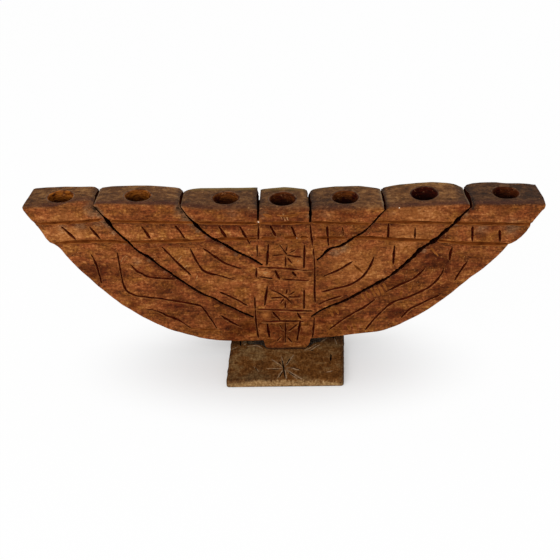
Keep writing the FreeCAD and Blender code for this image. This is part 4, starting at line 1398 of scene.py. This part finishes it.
def make_bored_wall():
    """The walls of the candle bores: dark turned wood, darker deeper in as painted shade, with painted
    glints, a paler worn lip that is partly a painted highlight, and amber where wax has stayed.
    """
    material = start_material("bored_hardwood_wall")
    turning = grain(material, (5, 5, 1.1), 3, 9)
    patches = grain(material, (11, 11, 9), 2, 19)
    painted_glints = grain(material, (1.8, 1.8, 1.8), 2, 71)
    wax = weighed(material, (share_of(material, "wax"), share_of(material, patches, 0.38, 0.5)))
    inner = coat(material, None, (turning, (0.38, "#200602"), (0.6, "#3e0e03")))
    inner = coat(material, inner, (turning, (0.38, "#602c07"), (0.6, "#a46020")), wax)
    # Painted glints on the glossy wall
    inner = coat(material, inner, "#a8744c", painted_glints, 0.62, 0.72, 0.55)
    # Painted shade deeper in the bore
    inner = coat(material, inner, "#604c3c", "depth", 4, 10, way="MULTIPLY")
    # The lip: worn, and a painted highlight where its edge catches the light
    lip = coat(material, None, (turning, (0.38, "#3c281a"), (0.6, "#725640")))
    colour = coat(material, lip, inner, "depth", 0.1, 0.5)
    return finish_surface(material, colour, share_of(material, wax, 0, 1, 0.8, 0.35), turning, 0.3)


def make_plinth_wood(name, top_tones, edge_tones):
    """A second, plainer hardwood, scuffed on top, and painted darker on its top than up its edges, a painted
    shade on the top.
    """
    material = start_material(name)
    fuzz = grain(material, (1.7, 2.1, 1.7), 2, 43)
    fibres = grain(material, (6, 2.6, 1.5), 3, 13)
    blotches = grain(material, (14, 11, 8), 3, 29)
    scuffs = grain(material, (1.6, 7, 3), 2, 47)
    ragged = grain(material, (1.8, 6, 6), 2, 73)
    mixed = weighed(material, (fuzz, 0.36), (fibres, 0.16), (blotches, 0.24), (scuffs, 0.24))
    colour = coat(material, None, (mixed, *zip((0.38, 0.5, 0.62), top_tones)))
    colour = coat(material, colour, (mixed, (0.38, "#463018"), (0.5, "#6c5030"), (0.62, "#94784e")),
                  blotches, 0.46, 0.62, 0.7)
    paler_edge = weighed(material, (ragged, 0.9), (share_of(material, "paler_edge"), 1.0))
    colour = coat(material, colour, (mixed, *zip((0.38, 0.5, 0.62), edge_tones)), paler_edge, 0.9, 1.0)
    # Darker sides and blotches, and a painted contact shadow along the bottom
    colour = coat(material, colour, (mixed, (0.38, "#1c120a"), (0.62, "#503822")), "grime_and_painted_shade", full=0.8)
    return finish_surface(material, colour, share_of(material, mixed, 0.35, 0.65, 0.7, 0.55), mixed, 1.2)


def make_screw_steel():
    """Plain steel screws, dull grey with a little rust."""
    material = start_material("dull_screw_steel")
    rust = grain(material, (3, 3, 3), 4, 61)
    colour = coat(material, None, (rust, (0.42, "#8f8b84"), (0.55, "#7c766c"), (0.68, "#5e4636")))
    rough = share_of(material, rust, 0.4, 0.7, 0.35, 0.65)
    return finish_surface(material, colour, rough, rust, 0.05, shine=0.5, metallic=1.0)


# The board's top tones are darker than its edge tones, a painted shade on the top
PLINTH_TOP_TONES = ("#3e220a", "#69401a", "#92683c")
PLINTH_EDGE_TONES = ("#624626", "#8c693f", "#b69264")
# The seat's dark, greyish tones are a painted shade: it lies under the slab
SEAT_TONES = ("#281c18", "#524236", "#8c7c6e")

oiled_hardwood = make_oiled_hardwood()
bored_wall = make_bored_wall()
plinth_wood = make_plinth_wood("dark_plinth_wood", PLINTH_TOP_TONES, PLINTH_EDGE_TONES)
gouged_seat = make_plinth_wood("gouged_seat_wood", SEAT_TONES, PLINTH_EDGE_TONES)
screw_steel = make_screw_steel()

# The walls of knife cuts in the hardwood: burnished at the rim, darker with depth below it, partly oil and
# dirt and partly painted shade in the cut
knife_cut = make_cut_wood("knife_cut_hardwood", (9, 1.8, 1.8), 3, 5, ("#74401c", "#a46e3e"),
                          (0.85, 0.7), 0.4, ("#2a0905", "#50190b"), (0.1, 0.75), 0.0)

# Broad gouge work, softened by handling: brown rather than black, darker with depth, a painted shade in the
# groove
worn_groove = make_cut_wood("worn_hardwood_groove", (9, 1.8, 1.8), 3, 5, ("#6c3c16", "#94592a"),
                            (0.85, 0.7), 0.4, ("#4a2009", "#703814"), (0.1, 0.8), 0.0)

# The walls of the saw cuts: rough, and painted nearly black with depth, a painted shade for the deep narrow
# cut
sawn_wall = make_cut_wood("sawn_hardwood_wall", (1.5, 9, 1.5), 3, 7, ("#5a3820", "#946a4a"),
                          (0.9, 0.8), 0.5, ("#160603", "#341209"), (0.05, 0.5), 0.0)

# Scratches and flecks through the oiled skin, down to paler dry wood
scuffed_wood, fresh_wood, scratched_wood = [
    make_cut_wood(name, (3, 2, 2), 2, 67, tones, (0.8, 0.7), 0.2) for name, tones in (
        ("scuffed_hardwood", ("#845530", "#aa7d50")),
        ("freshly_bared_hardwood", ("#c8a888", "#f4e4d0")),
        ("scratched_plinth_wood", ("#765a40", "#9a7e60")))]

# A deep cut in the plinth that has filled with dirt
dirty_cut = make_cut_wood("dirty_plinth_cut", (2, 2, 2), 2, 59, ("#0c0804", "#241810"), (0.9, 0.8), 0.2)


# Stage and light

def set_up_stage():
    """A pale floor that glows white for the camera, more so away from the object, so that it reads darker
    round the object as a painted shade, while the object's own shadow still shows.
    """
    bpy.ops.object.select_all(action="DESELECT")
    bpy.ops.mesh.primitive_plane_add(size=8, location=(0, 0, -0.1 * MM))
    floor = bpy.context.object
    floor.name = "floor"
    material = start_material("pale_sweep")
    tree = material.node_tree
    surface = tree.nodes["Principled BSDF"]
    surface.inputs["Base Color"].default_value = linear("#f4f4f4")
    surface.inputs["Roughness"].default_value = 0.9
    surface.inputs["Specular IOR Level"].default_value = 0.0
    place = add_node(material, "ShaderNodeTexCoord").outputs["Object"]
    narrowed = add_node(material, "ShaderNodeMapping", {"vector_type": "TEXTURE"}, {
        "Vector": place, "Location": (-0.0065, -0.0334, 0), "Scale": (1.97, 1, 1)}).outputs["Vector"]
    away = add_node(material, "ShaderNodeVectorMath", {"operation": "LENGTH"}, {
        0: narrowed}).outputs["Value"]
    smooth = {"clamp": True, "interpolation_type": "SMOOTHSTEP"}
    # The white glow grows with distance from a point near the object: a painted shade round the object
    whiteness = add_node(material, "ShaderNodeMapRange", smooth, {
        "Value": away, "From Min": 0.018, "From Max": 0.105, "To Min": 0.30, "To Max": 0.965,
    }).outputs["Result"]
    seen = add_node(material, "ShaderNodeLightPath").outputs["Is Camera Ray"]
    white = add_node(material, "ShaderNodeEmission", inputs={"Color": linear("#ffffff"), "Strength": 1.0})
    shown = add_node(material, "ShaderNodeMixShader", inputs={
        0: weighed(material, (whiteness, seen)), 1: surface.outputs["BSDF"], 2: white.outputs[0]})
    tree.links.new(shown.outputs[0], tree.nodes["Material Output"].inputs["Surface"])
    floor.data.materials.append(material)

    # Even studio light of half strength, and pure white where the camera looks past the sweep
    world = bpy.data.worlds.new("studio")
    bpy.context.scene.world = world
    world.use_nodes = True
    background = world.node_tree.nodes["Background"]
    background.inputs["Color"].default_value = linear("#ffffff")
    seen = add_node(world, "ShaderNodeLightPath").outputs["Is Camera Ray"]
    brightness = weighed(world, (seen, 0.5), (0.5, 1.0))
    world.node_tree.links.new(brightness, background.inputs["Strength"])


def add_softbox(name, place, size, watts):
    bpy.ops.object.light_add(type="AREA", location=Vector(place) * MM)
    lamp = bpy.context.object
    lamp.name = name
    lamp.data.size = size * MM
    lamp.data.energy = watts
    aim = (Vector((0, 0, 90)) * MM - lamp.location).to_track_quat("-Z", "Y")
    lamp.rotation_euler = aim.to_euler()


slab = carve_slab()
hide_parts("carved_body")
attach(slab, "root")

plinth = make_plinth()
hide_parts("base")
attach(plinth, "root")

screws = make_screws()
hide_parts("base_screws")
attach(screws, "root")

set_up_stage()
add_softbox("front_softbox", (-500, -1200, 900), 1200, 15)
add_softbox("rear_softbox", (300, 900, 1200), 1200, 4)
set_up_camera()

bpy.context.scene.view_settings.view_transform = "Standard"
